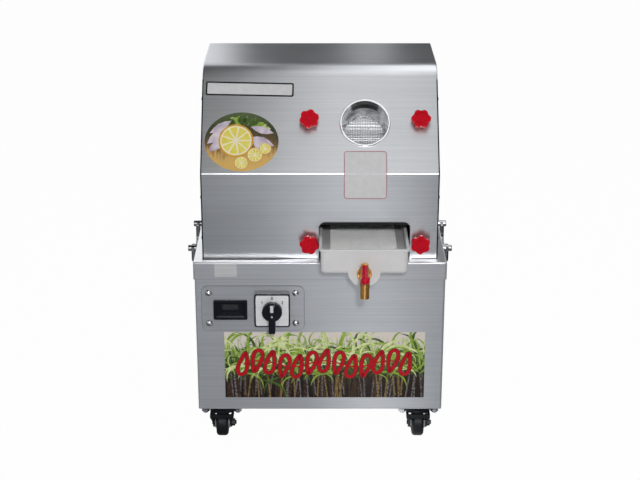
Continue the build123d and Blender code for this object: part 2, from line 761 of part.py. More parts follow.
def hood_sheets():
    """The wrap's four sheets by name, parted along rays from inside the hood to where the bends begin."""
    inside = (200.0, 560.0)
    bend_up = (HOOD_TOP - FOLD_Z) / cos(LEAN) - BEND_RADIUS * tan((pi / 2 - LEAN) / 2)
    tangents = (
        (HOOD_FRONT, FOLD_Z - FOLD_RADIUS * tan(LEAN / 2)),
        slope_point(bend_up),
        (HOOD_BACK, HOOD_TOP - BACK_RADIUS),
    )
    fold, bend, rear = [
        tuple(start + 1.2 * (end - start) for start, end in zip(inside, tangent)) for tangent in tangents
    ]
    low = RIM_Z - 10
    high = HOOD_TOP + 40
    wedges = {
        "hood_front": (inside, fold, (fold[0], low), (inside[0], low)),
        "hood_slope": (inside, fold, (fold[0], bend[1]), bend),
        "hood_top": (inside, bend, (bend[0], high), (rear[0], high), rear),
        "hood_back": (inside, rear, (rear[0], low), (inside[0], low)),
    }
    shell = hood_shell()
    reach = (-HOOD_WIDTH, HOOD_WIDTH)
    return {
        name: shell & across(make_face(Polyline(*points, close=True)), reach)
        for name, points in wedges.items()
    }


def hood_sides():
    """Flat side panels behind the wrap's lips."""
    outer = HOOD_WIDTH / 2 - SHEET
    return [
        across(hood_outline(SHEET + 0.1, RIM_Z), x_range)
        for x_range in ((-outer, -outer + SHEET), (outer - SHEET, outer))
    ]


def feed_funnel():
    """Collar on the sloping panel, running into a cone that ends at the rollers."""
    tube = spun(
        (
            (PORT_RADIUS, COLLAR_PROUD),
            (COLLAR_RADIUS - 1, COLLAR_PROUD),
            (COLLAR_RADIUS, COLLAR_PROUD - 1),
            (COLLAR_RADIUS, 0),
            (PORT_RADIUS + SHEET, 0),
            (PORT_RADIUS + SHEET, -COLLAR_DEPTH),
            (FUNNEL_END_RADIUS + SHEET, -FUNNEL_LENGTH),
            (FUNNEL_END_RADIUS, -FUNNEL_LENGTH),
            (PORT_RADIUS, -COLLAR_DEPTH),
        )
    )
    return slope_frame(MILL_X, PORT_UP_SLOPE) * tube


def knob_studs():
    """Four studs set into the front edges of the mill plates."""
    return [
        frame * Pos(0, 0, -25) * extrude(Circle(STUD_RADIUS), 25 + KNOB_HEIGHT - 4)
        for frame in knob_frames().values()
    ]


def star_knob(frame, turn):
    """Lobed hand knob with a hub, a soft edge and two rings turned into its face."""
    star = Circle(KNOB_CORE_RADIUS)
    reach = KNOB_RADIUS - KNOB_LOBE_RADIUS
    for lobe in range(KNOB_LOBES):
        angle = 2 * pi * lobe / KNOB_LOBES
        star += Pos(reach * sin(angle), reach * cos(angle)) * Circle(KNOB_LOBE_RADIUS)
    head_low = KNOB_HEIGHT - KNOB_HEAD
    head = Pos(0, 0, head_low) * extrude(star, KNOB_HEAD)
    head = fillet(head.faces().sort_by(Axis.Z)[-1].edges(), 1.5)
    hub = Pos(0, 0, GAP) * extrude(Circle(9.5), head_low + 1 - GAP)
    rings = [
        Pos(0, 0, KNOB_HEIGHT - depth) * extrude(Circle(outer) - Circle(inner), 2)
        for inner, outer, depth in KNOB_RINGS
    ]
    bore = extrude(Circle(STUD_RADIUS + RUN_FIT), KNOB_HEIGHT - 3)
    return frame * Rot(0, 0, -turn) * (hub + head - rings - bore)


def mill_plate(x_range):
    """Thick side plate cut to the hood's front, bored for the bushes and lightened below them."""
    inset = SHEET + 0.2
    front = HOOD_FRONT + inset
    fold_z = FOLD_Z - inset * tan(LEAN / 2)
    outline = make_face(
        Polyline(
            (front, RIM_Z),
            (front, fold_z),
            (front + (PLATE_TOP - fold_z) * tan(LEAN), PLATE_TOP),
            (PLATE_BACK, PLATE_TOP),
            (PLATE_BACK, RIM_Z),
            close=True,
        )
    )
    window = Pos((front + PLATE_BACK) / 2 + 8, 420) * rounded(150, 60, 16)
    plate = across(outline - window, x_range)
    reach = (x_range[0] - 5, x_range[1] + 5)
    for back, z in ROLLER_AXES.values():
        plate -= rod_x(back, z, BUSH_RADIUS, reach)
    return plate - knob_studs()


TIE_BAR_PLACES = ((52.0, 480.0), (245.0, 470.0), (240.0, 606.0))
STANDOFF_PLACES = ((120.0, 465.0), (252.0, 465.0), (254.0, 612.0), (120.0, 560.0))


def mill_spacers():
    """Tie bars between the mill plates and standoffs that carry the motor plate."""
    bars = [rod_x(back, z, 8, (LEFT_PLATE_X[1], RIGHT_PLATE_X[0])) for back, z in TIE_BAR_PLACES]
    reach = (MOTOR_PLATE_X[1], LEFT_PLATE_X[0])
    standoffs = [rod_x(back, z, 7, reach) for back, z in STANDOFF_PLACES]
    return bars + standoffs


def roller_bushes():
    """Flanged bronze bushes in both mill plates."""
    solids = []
    for back, z in ROLLER_AXES.values():
        for (low, high), inward in ((LEFT_PLATE_X, 1), (RIGHT_PLATE_X, -1)):
            face = high if inward > 0 else low
            flange = sorted((face, face + inward * BUSH_FLANGE_THICK))
            bush = rod_x(back, z, BUSH_RADIUS, (low, high)) + rod_x(back, z, BUSH_FLANGE, flange)
            solids.append(bush - rod_x(back, z, SHAFT_RADIUS + RUN_FIT, (low - 5, high + 5)))
    return solids


def fluted_roller(axis):
    """Roller with flutes along it, and journals that run through the plates to its gear."""
    points = []
    pitch = 2 * pi / FLUTES
    for flute in range(FLUTES):
        crest = ROLLER_RADIUS
        for share, radius in ((-0.3, crest), (0.12, crest), (0.41, crest - FLUTE_DEPTH)):
            turn = (flute + share) * pitch
            points.append((radius * cos(turn), radius * sin(turn)))
    section = Pos(*axis) * make_face(Polyline(*points, close=True))
    body = across(section, (LEFT_PLATE_X[1] + ROLLER_END_GAP, RIGHT_PLATE_X[0] - ROLLER_END_GAP))
    return body + rod_x(*axis, SHAFT_RADIUS, SHAFT_X)


def gear_outline(teeth, phase):
    """Involute spur gear with thinned teeth, one tooth centred on the phase angle."""
    pitch_radius = GEAR_MODULE * teeth / 2
    base = pitch_radius * cos(PRESSURE_ANGLE)
    tip = pitch_radius + GEAR_MODULE
    root = pitch_radius - 1.25 * GEAR_MODULE
    half_tooth = (pi * GEAR_MODULE / 2 - TOOTH_THINNING / 2) / (2 * pitch_radius)
    spread = half_tooth + tan(PRESSURE_ANGLE) - PRESSURE_ANGLE
    low = max(base, root)
    flank = []
    for step in range(4):
        radius = low + (tip - low) * step / 3
        pressure = acos(base / radius)
        flank.append((radius, spread - (tan(pressure) - pressure)))
    if root < base:
        flank.insert(0, (root, flank[0][1]))
    points = []
    for tooth in range(teeth):
        centre = phase + 2 * pi * tooth / teeth
        rising = [(radius, centre - half) for radius, half in flank]
        falling = [(radius, centre + half) for radius, half in reversed(flank)]
        points += [(radius * cos(turn), radius * sin(turn)) for radius, turn in rising + falling]
    return make_face(Polyline(*points, close=True))


def meshed_phase(axis, mate_axis, teeth, mate_teeth, mate_phase):
    """Phase that puts a gear's teeth into the gaps of its mate."""
    towards = atan2(axis[1] - mate_axis[1], axis[0] - mate_axis[0])
    mate_share = (towards - mate_phase) * mate_teeth / (2 * pi)
    return towards + pi - (0.5 - mate_share) * 2 * pi / teeth


def roller_gear(axis, phase):
    """Spur gear with a web recess on each face, bored for the shaft."""
    gear = across(Pos(*axis) * gear_outline(GEAR_TEETH, phase), GEAR_X)
    recess = Pos(*axis) * (Circle(25) - Circle(17))
    for x_range in ((GEAR_X[0] - 1, GEAR_X[0] + 4), (GEAR_X[1] - 4, GEAR_X[1] + 1)):
        gear -= across(recess, x_range)
    return gear - rod_x(*axis, SHAFT_RADIUS + RUN_FIT, (GEAR_X[0] - 1, GEAR_X[1] + 1))


def drive_pinion():
    """Pinion on the gearbox's output shaft."""
    phase = meshed_phase(PINION_AXIS, TOP_AXIS, PINION_TEETH, GEAR_TEETH, 0.0)
    pinion = across(Pos(*PINION_AXIS) * gear_outline(PINION_TEETH, phase), GEAR_X)
    return pinion + rod_x(*PINION_AXIS, PINION_SHAFT_RADIUS, (MOTOR_PLATE_X[0] - 25, GEAR_X[1] + 3))


def turn_plate():
    """Bar between the lower rollers that turns the crushed cane up into the second nip."""
    clearance = 1.2
    section = Pos((FRONT_AXIS[0] + REAR_AXIS[0]) / 2, NIP[1] - 24) * Rectangle(40, 44)
    section -= Pos(*TOP_AXIS) * Circle(ROLLER_RADIUS + 6)
    for axis in (FRONT_AXIS, REAR_AXIS):
        section -= Pos(*axis) * Circle(ROLLER_RADIUS + clearance)
    bar = across(section, (LEFT_PLATE_X[1], RIGHT_PLATE_X[0]))
    for axis in ROLLER_AXES.values():
        bar -= rod_x(*axis, BUSH_FLANGE + 0.2, (LEFT_PLATE_X[0], RIGHT_PLATE_X[1]))
    return bar.solids().sort_by(SortBy.VOLUME)[-1]


def motor_plate():
    """Upright plate that carries the gear motor, bored for the pinion shaft."""
    outline = make_face(
        Polyline((104, RIM_Z), (104, 580), (170, 650), (290, 650), (290, RIM_Z), close=True)
    )
    outline = fillet(outline.vertices().group_by(Axis.Y)[-1], 14)
    plate = across(outline, MOTOR_PLATE_X)
    reach = (MOTOR_PLATE_X[0] - 1, MOTOR_PLATE_X[1] + 1)
    return plate - rod_x(*PINION_AXIS, PINION_SHAFT_RADIUS + 3, reach)


GEARBOX_X = (MOTOR_PLATE_X[0] - GEARBOX_LENGTH, MOTOR_PLATE_X[0])


def gearbox():
    """Inline gearbox with a square flange and a bore for the pinion shaft."""
    flange = across(
        Pos(*PINION_AXIS) * rounded(2 * GEARBOX_RADIUS + 4, 2 * GEARBOX_RADIUS + 4, 12),
        (GEARBOX_X[1] - 9, GEARBOX_X[1]),
    )
    case = rod_x(*PINION_AXIS, GEARBOX_RADIUS, GEARBOX_X)
    bands = [
        across(Pos(*PINION_AXIS) * (Circle(GEARBOX_RADIUS + 1) - Circle(GEARBOX_RADIUS - 2)), (x, x + 3))
        for x in (GEARBOX_X[0] + 16, GEARBOX_X[0] + 34)
    ]
    bore = rod_x(*PINION_AXIS, PINION_SHAFT_RADIUS + RUN_FIT, (GEARBOX_X[1] - 28, GEARBOX_X[1] + 1))
    return flange + case - bands - bore


def motor():
    """Round motor with an end cap and a brush cover on each side."""
    start = GEARBOX_X[0]
    can = rod_x(*PINION_AXIS, MOTOR_RADIUS, (start - MOTOR_LENGTH + 12, start))
    cap = rod_x(*PINION_AXIS, MOTOR_RADIUS - 3, (start - MOTOR_LENGTH, start - MOTOR_LENGTH + 13))
    cap = fillet(cap.faces().sort_by(Axis.X)[0].edges(), 4)
    covers = [
        across(
            Pos(PINION_AXIS[0] + side * (MOTOR_RADIUS - 4), PINION_AXIS[1]) * Rectangle(12, 14),
            (start - MOTOR_LENGTH + 14, start - MOTOR_LENGTH + 28),
        )
        for side in (-1, 1)
    ]
    return can + cap + covers


def bagasse_chute():
    """Sloping channel behind the mill, out through the back, with a flange on the hood."""
    (start, start_z), (end, end_z) = CHUTE_START, CHUTE_END
    outer_face = make_face(
        Polyline(
            (start, start_z),
            (end, end_z),
            (end, end_z + CHUTE_WALL),
            (start, start_z + CHUTE_WALL),
            close=True,
        )
    )
    half = CHUTE_WIDTH / 2
    channel = across(outer_face, (MILL_X - half, MILL_X + half))
    hollow = Pos(0, 0, SHEET * 1.1) * across(outer_face, (MILL_X - half + SHEET, MILL_X + half - SHEET))
    hollow += Pos(0, 20, SHEET * 1.1 - 20 * (start_z - end_z) / (end - start)) * hollow
    hollow += Pos(0, -20, SHEET * 1.1 + 20 * (start_z - end_z) / (end - start)) * hollow
    floor_at_hood = start_z + (end_z - start_z) * (HOOD_BACK - start) / (end - start)
    margin = CHUTE_FLANGE_MARGIN
    flange_face = Pos(MILL_X, floor_at_hood + CHUTE_WALL / 2) * rounded(
        CHUTE_WIDTH + 2 * margin, CHUTE_WALL + 2 * margin + 8, 4
    )
    flange = frontal(flange_face, (HOOD_BACK, HOOD_BACK + SHEET))
    opening = across(outer_face, (MILL_X - half + SHEET, MILL_X + half - SHEET))
    return flange - opening + (channel - hollow)


def juice_tray():
    """Moulded tray: turned-out rim, strainer ledge, a floor that steps down outside the deck, a tap well."""
    mid = (TRAY_FRONT + TRAY_BACK) / 2
    length = TRAY_BACK - TRAY_FRONT

    def block(width, depth, low, high, corner):
        """Upright block about the tray's middle, with round corners."""
        return at(TRAY_X, mid, low) * extrude(rounded(width, depth, corner), high - low)

    body = block(TRAY_WIDTH, length, TRAY_BOTTOM, TRAY_RIM_Z, TRAY_CORNER)
    body = fillet(body.faces().sort_by(Axis.Z)[0].edges(), TRAY_FOOT_RADIUS)
    body -= slab((-100, 300), (-1, TRAY_BACK + 1), (TRAY_BOTTOM - 1, TRAY_SLIDE_Z))
    rim_low = TRAY_RIM_Z - TRAY_RIM_THICK
    rim = block(TRAY_RIM_WIDTH, length + 2 * TRAY_RIM_PROUD, rim_low, TRAY_RIM_Z, TRAY_CORNER)
    rim = fillet(rim.faces().sort_by(Axis.Z)[-1].edges(), 1.2)
    lobe = rod_y(TRAY_X, LOBE_Z, LOBE_RADIUS, (TRAY_FRONT, LOBE_BACK))
    lobe -= slab((0, 200), (TRAY_FRONT - 1, 10), (LOBE_Z + 8, LOBE_Z + 60))
    tray = body + rim + lobe
    wall = 2 * TRAY_WALL
    upper = block(TRAY_WIDTH - wall, length - wall, LEDGE_Z, TRAY_RIM_Z + 1, TRAY_CORNER - TRAY_WALL)
    narrow = wall + 2 * LEDGE_WIDTH

    def hollow(low):
        """Space under the ledge, down to a floor."""
        return block(TRAY_WIDTH - narrow, length - narrow, low, LEDGE_Z + 1, TRAY_CORNER - 5)

    outside = slab((-100, 300), (TRAY_FRONT, -1 - TRAY_WALL), (0, LEDGE_Z + 1))
    lower = hollow(TRAY_SLIDE_Z + TRAY_WALL) + (hollow(TRAY_BOTTOM + TRAY_WALL) & outside)
    well = rod_y(
        TRAY_X, LOBE_Z, LOBE_RADIUS - TRAY_WALL, (TRAY_FRONT + TRAY_WALL, LOBE_BACK - TRAY_WALL)
    )
    well -= slab((0, 200), (TRAY_FRONT - 1, 10), (LOBE_Z + 9, LOBE_Z + 60))
    tap_hole = rod_y(TRAY_X, TAP_Z, TAP_SHANK_RADIUS + 0.2, (TRAY_FRONT - 1, TRAY_FRONT + 10))
    return tray - upper - lower - well - tap_hole


def strainer_frame():
    """Folded frame on the tray's ledge: flange under the mesh, strips over it, a finger gap behind it."""
    mid = (TRAY_FRONT + TRAY_BACK - STRAINER_FINGER_GAP) / 2
    width = TRAY_WIDTH - 2 * TRAY_WALL - 1
    length = TRAY_BACK - TRAY_FRONT - STRAINER_FINGER_GAP - 2 * TRAY_WALL - 1
    corner = TRAY_CORNER - TRAY_WALL
    place = at(TRAY_X, mid, LEDGE_Z)
    outer = place * extrude(rounded(width, length, corner), STRAINER_HEIGHT)
    wall = 2 * STRAINER_SHEET
    inner = Pos(0, 0, STRAINER_SHEET) * place * extrude(
        rounded(width - wall, length - wall, corner - STRAINER_SHEET), STRAINER_HEIGHT
    )
    flange = 2 * STRAINER_FLANGE
    window = place * extrude(rounded(width - flange, length - flange, 3), STRAINER_SHEET)
    frame = outer - inner - window
    low = LEDGE_Z + STRAINER_SHEET + MESH_THICK + 0.2
    reach = (TRAY_FRONT + STRAINER_STRIP_START, mid + length / 2 - corner - 2)
    for side in (-1, 1):
        edge = TRAY_X + side * (width - STRAINER_SHEET) / 2
        strip_x = sorted((edge, edge - side * STRAINER_STRIP))
        frame += slab(strip_x, reach, (low, low + STRAINER_SHEET))
    return frame


def strainer_mesh():
    """Sheet of woven mesh lying on the frame's flange."""
    mid = (TRAY_FRONT + TRAY_BACK - STRAINER_FINGER_GAP) / 2
    inset = 2 * (TRAY_WALL + STRAINER_SHEET) + 2
    width = TRAY_WIDTH - inset
    length = TRAY_BACK - TRAY_FRONT - STRAINER_FINGER_GAP - inset
    return at(TRAY_X, mid, LEDGE_Z + STRAINER_SHEET) * extrude(rounded(width, length, 4), MESH_THICK)


def tap_body():
    """Brass tap: threaded shank, flange, hexagon, ball chamber, upright boss and a turned-down spout."""
    x, z = TRAY_X, TAP_Z
    shank = rod_y(x, z, TAP_SHANK_RADIUS, (TRAY_FRONT, TRAY_FRONT + 16))
    flange = rod_y(x, z, TAP_FLANGE_RADIUS, (TRAY_FRONT - 3.5, TRAY_FRONT))
    flange = fillet(flange.faces().sort_by(Axis.Y)[0].edges(), 1)
    hexagon = frontal(Pos(x, z) * RegularPolygon(12, 6), (TRAY_FRONT - 9.5, TRAY_FRONT - 3))
    barrel = rod_y(x, z, TAP_SPOUT_RADIUS + 0.5, (TAP_SPOUT_BACK, TRAY_FRONT - 9))
    chamber = at(x, TAP_BALL_BACK, z) * Sphere(TAP_BARREL_RADIUS)
    boss = rod_z(x, TAP_BALL_BACK, 6.5, (z, TAP_BOSS_TOP - 5))
    nut = at(x, TAP_BALL_BACK, TAP_BOSS_TOP - 5) * extrude(RegularPolygon(7.5, 6), 5)
    elbow = at(x, TAP_SPOUT_BACK, z) * Sphere(TAP_SPOUT_RADIUS + 0.5)
    spout = rod_z(x, TAP_SPOUT_BACK, TAP_SPOUT_RADIUS, (TAP_SPOUT_Z, z))
    spout += rod_z(x, TAP_SPOUT_BACK, TAP_SPOUT_RADIUS + 0.5, (TAP_SPOUT_Z + TAP_SPOUT_LENGTH, z))
    body = shank + flange + hexagon + barrel + chamber + boss + nut + elbow + spout
    bore = rod_y(x, z, TAP_BORE_RADIUS, (TAP_SPOUT_BACK, TRAY_FRONT + 17))
    drop = rod_z(x, TAP_SPOUT_BACK, TAP_BORE_RADIUS, (TAP_SPOUT_Z - 1, z))
    seat = at(x, TAP_BALL_BACK, z) * Sphere(TAP_BALL_RADIUS + RUN_FIT)
    stem = rod_z(x, TAP_BALL_BACK, TAP_STEM_RADIUS + RUN_FIT, (z, TAP_BOSS_TOP + 1))
    return body - bore - drop - seat - stem


def tap_locknut():
    """Hexagon nut inside the tray's well."""
    start = TRAY_FRONT + TRAY_WALL
    nut = frontal(Pos(TRAY_X, TAP_Z) * RegularPolygon(13, 6), (start, start + 6))
    return nut - rod_y(TRAY_X, TAP_Z, TAP_SHANK_RADIUS + RUN_FIT, (start - 1, start + 7))


def tap_ball():
    """Bored ball on its stem."""
    ball = at(TRAY_X, TAP_BALL_BACK, TAP_Z) * Sphere(TAP_BALL_RADIUS)
    bore = rod_y(
        TRAY_X, TAP_Z, TAP_BORE_RADIUS - 0.5, (TAP_BALL_BACK - 10, TAP_BALL_BACK + 10)
    )
    stem = rod_z(TRAY_X, TAP_BALL_BACK, TAP_STEM_RADIUS, (TAP_Z + 5, TAP_LEVER_TOP - 1))
    return ball - bore + stem


LEVER_START = (TAP_BALL_BACK - 4.0, TAP_LEVER_TOP - 3.0)
LEVER_LENGTH = sqrt((LEVER_START[0] - LEVER_END_BACK) ** 2 + (LEVER_START[1] - LEVER_END_Z) ** 2)


def lever_frame():
    """Location at the lever's root whose Z runs along the lever."""
    along = (0, LEVER_END_BACK - LEVER_START[0], LEVER_END_Z - LEVER_START[1])
    origin = (TRAY_X, FRONT_Y + LEVER_START[0], LEVER_START[1])
    return Plane(origin=origin, x_dir=(1, 0, 0), z_dir=along).location


def lever_arm():
    """Flat core of the lever."""
    return lever_frame() * Pos(0, 0, (LEVER_LENGTH - 2) / 2) * Box(7, 2.5, LEVER_LENGTH - 2)


def tap_lever():
    """Brass lever: a domed hub on the stem and a flat arm."""
    hub = rod_z(TRAY_X, TAP_BALL_BACK, 6.5, (TAP_BOSS_TOP + GAP, TAP_LEVER_TOP))
    hub = fillet(hub.faces().sort_by(Axis.Z)[-1].edges(), 2.5)
    stem = rod_z(TRAY_X, TAP_BALL_BACK, TAP_STEM_RADIUS + 0.02, (TAP_BOSS_TOP, TAP_LEVER_TOP - 1))
    return hub + lever_arm() - stem


def tap_lever_grip():
    """Dipped sleeve on the lever, swelling to a round end and cut clear of the hub and the gland nut."""
    start = 2.5
    sleeve = spun(((0, start), (5.0, start), (6.0, LEVER_LENGTH), (0, LEVER_LENGTH)))
    sleeve += Pos(0, 0, LEVER_LENGTH) * Sphere(LEVER_END_RADIUS)
    hub = rod_z(TRAY_X, TAP_BALL_BACK, 6.6, (TAP_BOSS_TOP, TAP_LEVER_TOP + 5))
    nut = rod_z(TRAY_X, TAP_BALL_BACK, 8.1, (TAP_Z, TAP_BOSS_TOP + GAP))
    return lever_frame() * sleeve - lever_arm() - hub - nut


def handle_brackets():
    """Two posts on each side of the skirt, each with a round foot and a cross bore for the trunnion."""
    solids = []
    wall = DECK_WIDTH / 2
    for side in (-1, 1):
        pivot = side * (wall + HANDLE_PIVOT_OUT)
        post_x = sorted((side * wall, side * (wall + POST_LENGTH)))
        foot_x = sorted((side * wall, side * (wall + POST_FOOT_THICK)))
        for end in (-1, 1):
            back = HANDLE_MID + end * HANDLE_SPREAD / 2
            post = rod_x(back, HANDLE_PIVOT_Z, POST_RADIUS, post_x)
            outer_end = post.faces().filter_by(Axis.X).sort_by(Axis.X)[-1 if side > 0 else 0]
            post = fillet(outer_end.edges(), 1.2)
            foot = rod_x(back, HANDLE_PIVOT_Z, POST_FOOT_RADIUS, foot_x)
            through = (back - POST_RADIUS - 1, back + POST_RADIUS + 1)
            solids.append(post + foot - rod_y(pivot, HANDLE_PIVOT_Z, TRUNNION_RADIUS + RUN_FIT, through))
    return solids


def handle_bail(side):
    """Round-bar bail that hangs from its two trunnions."""
    x = side * (DECK_WIDTH / 2 + HANDLE_PIVOT_OUT)
    inner = HANDLE_SPREAD / 2 - POST_RADIUS - BAIL_RADIUS - 1.0
    low = HANDLE_PIVOT_Z - BAIL_DROP
    front = FRONT_Y + HANDLE_MID - inner
    back = FRONT_Y + HANDLE_MID + inner
    path = FilletPolyline(
        (x, front, HANDLE_PIVOT_Z),
        (x, front, low),
        (x, back, low),
        (x, back, HANDLE_PIVOT_Z),
        radius=BAIL_BEND,
    )
    section = Plane(origin=path @ 0, z_dir=path % 0) * Circle(BAIL_RADIUS)
    bail = sweep(section, path)
    outer = HANDLE_SPREAD / 2 + POST_RADIUS + 2.5
    for end in (-1, 1):
        knuckle = at(x, HANDLE_MID + end * inner, HANDLE_PIVOT_Z) * Sphere(BAIL_RADIUS)
        span = sorted((HANDLE_MID + end * inner, HANDLE_MID + end * outer))
        bail += knuckle + rod_y(x, HANDLE_PIVOT_Z, TRUNNION_RADIUS, span)
    return bail


def all_nodes():
    """Every node of the machine by name, in the order of assembly."""
    nodes = {
        "cabinet_floor": cabinet_floor(),
        "cabinet_shell": cabinet_shell(),
        "cabinet_back_panel": cabinet_back_panel(),
        "deck_pan": deck_pan(),
        "batteries": batteries(),
        "charging_socket": charging_socket(),
        "control_plate": control_plate(),
        "control_plate_screws": control_plate_screws(),
        "meter_bezel": meter_bezel(),
        "meter_window": meter_window(),
        "switch_body": [switch_base(), switch_contacts()],
        "switch_plate": switch_plate(),
        "switch_handle": switch_handle(),
        "caster_plates": caster_plates(),
        "caster_bolts": caster_bolts(),
    }
    for name, place in caster_places().items():
        nodes[f"caster_fork_{name}"] = caster_fork(*place)
        nodes[f"caster_wheel_{name}"] = caster_wheel(*place)
    nodes["mill_plates"] = [mill_plate(LEFT_PLATE_X), mill_plate(RIGHT_PLATE_X)]
    nodes["mill_spacers"] = mill_spacers()
    nodes["roller_bushes"] = roller_bushes()
    for name, axis in ROLLER_AXES.items():
        phase = 0.0 if name == "top" else meshed_phase(axis, TOP_AXIS, GEAR_TEETH, GEAR_TEETH, 0.0)
        nodes[f"{name}_roller"] = fluted_roller(axis)
        nodes[f"{name}_gear"] = roller_gear(axis, phase)
    nodes["drive_pinion"] = drive_pinion()
    nodes["turn_plate"] = turn_plate()
    nodes["motor_plate"] = motor_plate()
    nodes["gearbox"] = gearbox()
    nodes["motor"] = motor()
    nodes.update(hood_sheets())
    nodes["hood_sides"] = hood_sides()
    nodes["feed_funnel"] = feed_funnel()
    nodes["bagasse_chute"] = bagasse_chute()
    nodes["knob_studs"] = knob_studs()
    for name, frame in knob_frames().items():
        nodes[f"star_knob_{name}"] = star_knob(frame, KNOB_TURNS[name])
    nodes["juice_tray"] = juice_tray()
    nodes["strainer_frame"] = strainer_frame()
    nodes["strainer_mesh"] = strainer_mesh()
    nodes["tap_body"] = tap_body()
    nodes["tap_locknut"] = tap_locknut()
    nodes["tap_ball"] = tap_ball()
    nodes["tap_lever"] = tap_lever()
    nodes["tap_lever_grip"] = tap_lever_grip()
    nodes["handle_brackets"] = handle_brackets()
    nodes["handle_bail_left"] = handle_bail(-1)
    nodes["handle_bail_right"] = handle_bail(1)
    return nodes


def write_nodes():
    """Write each node to its own STEP file, a group of solids as one compound."""
    os.makedirs("parts", exist_ok=True)
    for name, shape in all_nodes().items():
        solids = shape if isinstance(shape, list) else shape.solids()
        flat = [solid for piece in solids for solid in piece.solids()]
        whole = flat[0] if len(flat) == 1 else Compound(children=flat)
        export_step(whole, f"parts/{name}.step")


write_nodes()
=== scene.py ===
"""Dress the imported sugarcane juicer: finishes, printed sheets, woven strainer, fasteners and a studio."""

import logging
import math
import random
from dataclasses import dataclass, field
from enum import Enum
from typing import Callable, Iterable

import bpy
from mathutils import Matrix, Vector


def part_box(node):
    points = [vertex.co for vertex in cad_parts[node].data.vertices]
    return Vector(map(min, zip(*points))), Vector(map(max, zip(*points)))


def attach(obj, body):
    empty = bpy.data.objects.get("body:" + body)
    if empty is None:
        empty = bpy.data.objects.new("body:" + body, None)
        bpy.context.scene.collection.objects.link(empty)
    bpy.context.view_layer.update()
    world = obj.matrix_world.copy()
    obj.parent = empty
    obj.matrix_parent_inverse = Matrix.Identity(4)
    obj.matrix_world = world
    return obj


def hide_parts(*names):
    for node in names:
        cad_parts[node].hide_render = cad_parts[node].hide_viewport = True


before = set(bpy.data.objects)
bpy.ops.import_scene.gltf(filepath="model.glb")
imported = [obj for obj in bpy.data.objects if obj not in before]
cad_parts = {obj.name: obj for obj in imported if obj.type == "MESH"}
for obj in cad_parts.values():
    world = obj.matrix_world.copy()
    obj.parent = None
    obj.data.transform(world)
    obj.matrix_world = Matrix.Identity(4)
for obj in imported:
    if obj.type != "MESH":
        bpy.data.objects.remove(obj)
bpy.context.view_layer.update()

LOG = logging.getLogger("juicer")

MM = 0.001
ROOT = "machine"

# Where the CAD source has the skirt's front, the cabinet's face behind it, the hood's fold and the port's
# centre, in millimetres.
FRONT_Y = -121.25
CABINET_BACK = 2.0
FOLD_BACK = 20.0
FOLD_Z = 519.5
PORT_UP = 96.0
LEAN = math.radians(38.0)

# How far the back and the front of a printed sheet, of a face on it and of a painted shade strip lie above
# their carrier.
SHEET_LIFT = (0.02, 0.20)
FACE_LIFT = (0.20, 0.28)
SHADE_STRIP_LIFT = (0.02, 0.18)

# Ends of a profile of unit width across a printed line.
CROSS_LINE = ((-0.5, 0.0, 0.0), (0.5, 0.0, 0.0))

WHITE = (1.0, 1.0, 1.0)

# Noise values that are taken as the lowest and the highest.
NOISE_RANGE = (0.3, 0.7)

# Height of the relief of brushed steel, of a moulded or cast skin and of printed vinyl, in metres.
STEEL_RELIEF = 0.0004
SKIN_RELIEF = 0.0003
PRINT_RELIEF = 0.0002

# Strength of the shine of rubber and of vinyl.
DULL_SHINE = 0.22

Colour = tuple[float, float, float]
Point = tuple[float, float]
Level = tuple[float, float, float]
Scales = tuple[float, float, float]
Mapper = Callable[[float, float, float], Vector]


class GrainAxis(Enum):
    """Direction that a sheet was brushed in."""

    ACROSS = (3.0, 420.0, 420.0)
    UPRIGHT = (420.0, 420.0, 3.0)


def at(x: float, back: float, z: float) -> Vector:
    """Turn millimetres from the skirt's front into a point of the shared frame.

    Args:
        x: Distance to the right.
        back: Distance behind the skirt's front face.
        z: Height above the floor.

    Returns:
        The point in metres.
    """
    return Vector((x * MM, (FRONT_Y + back) * MM, z * MM))


def on_front(back: float) -> Mapper:
    """Make a mapper for an upright front face.

    Args:
        back: Where the face lies, in millimetres behind the skirt's front.

    Returns:
        A mapper from (x, z, lift) to a point.
    """
    return lambda u, v, lift: at(u, back - lift, v)


def on_slope(u: float, v: float, lift: float) -> Vector:
    """Map (x, distance up from the fold, lift) onto the hood's sloping panel."""
    back = FOLD_BACK + v * math.sin(LEAN) - lift * math.cos(LEAN)
    return at(u, back, FOLD_Z + v * math.cos(LEAN) + lift * math.sin(LEAN))


def over_fold(u: float, v: float, lift: float) -> Vector:
    """Map onto the slope above the fold and onto the upright front below it."""
    if v >= 0:
        return on_slope(u, v, lift)
    return at(u, FOLD_BACK - lift, FOLD_Z + v)


def tilted(mapper: Mapper, centre: Point, angle: float) -> Mapper:
    """Turn what a mapper places about a centre.

    Args:
        mapper: Where the piece lies.
        centre: Centre of the turn.
        angle: Degrees, anticlockwise as seen from the front.

    Returns:
        The turned mapper.
    """
    turn = math.radians(angle)

    def place(u: float, v: float, lift: float) -> Vector:
        """Turn one point and map it."""
        across = (u - centre[0]) * math.cos(turn) - (v - centre[1]) * math.sin(turn)
        along = (u - centre[0]) * math.sin(turn) + (v - centre[1]) * math.cos(turn)
        return mapper(centre[0] + across, centre[1] + along, lift)

    return place


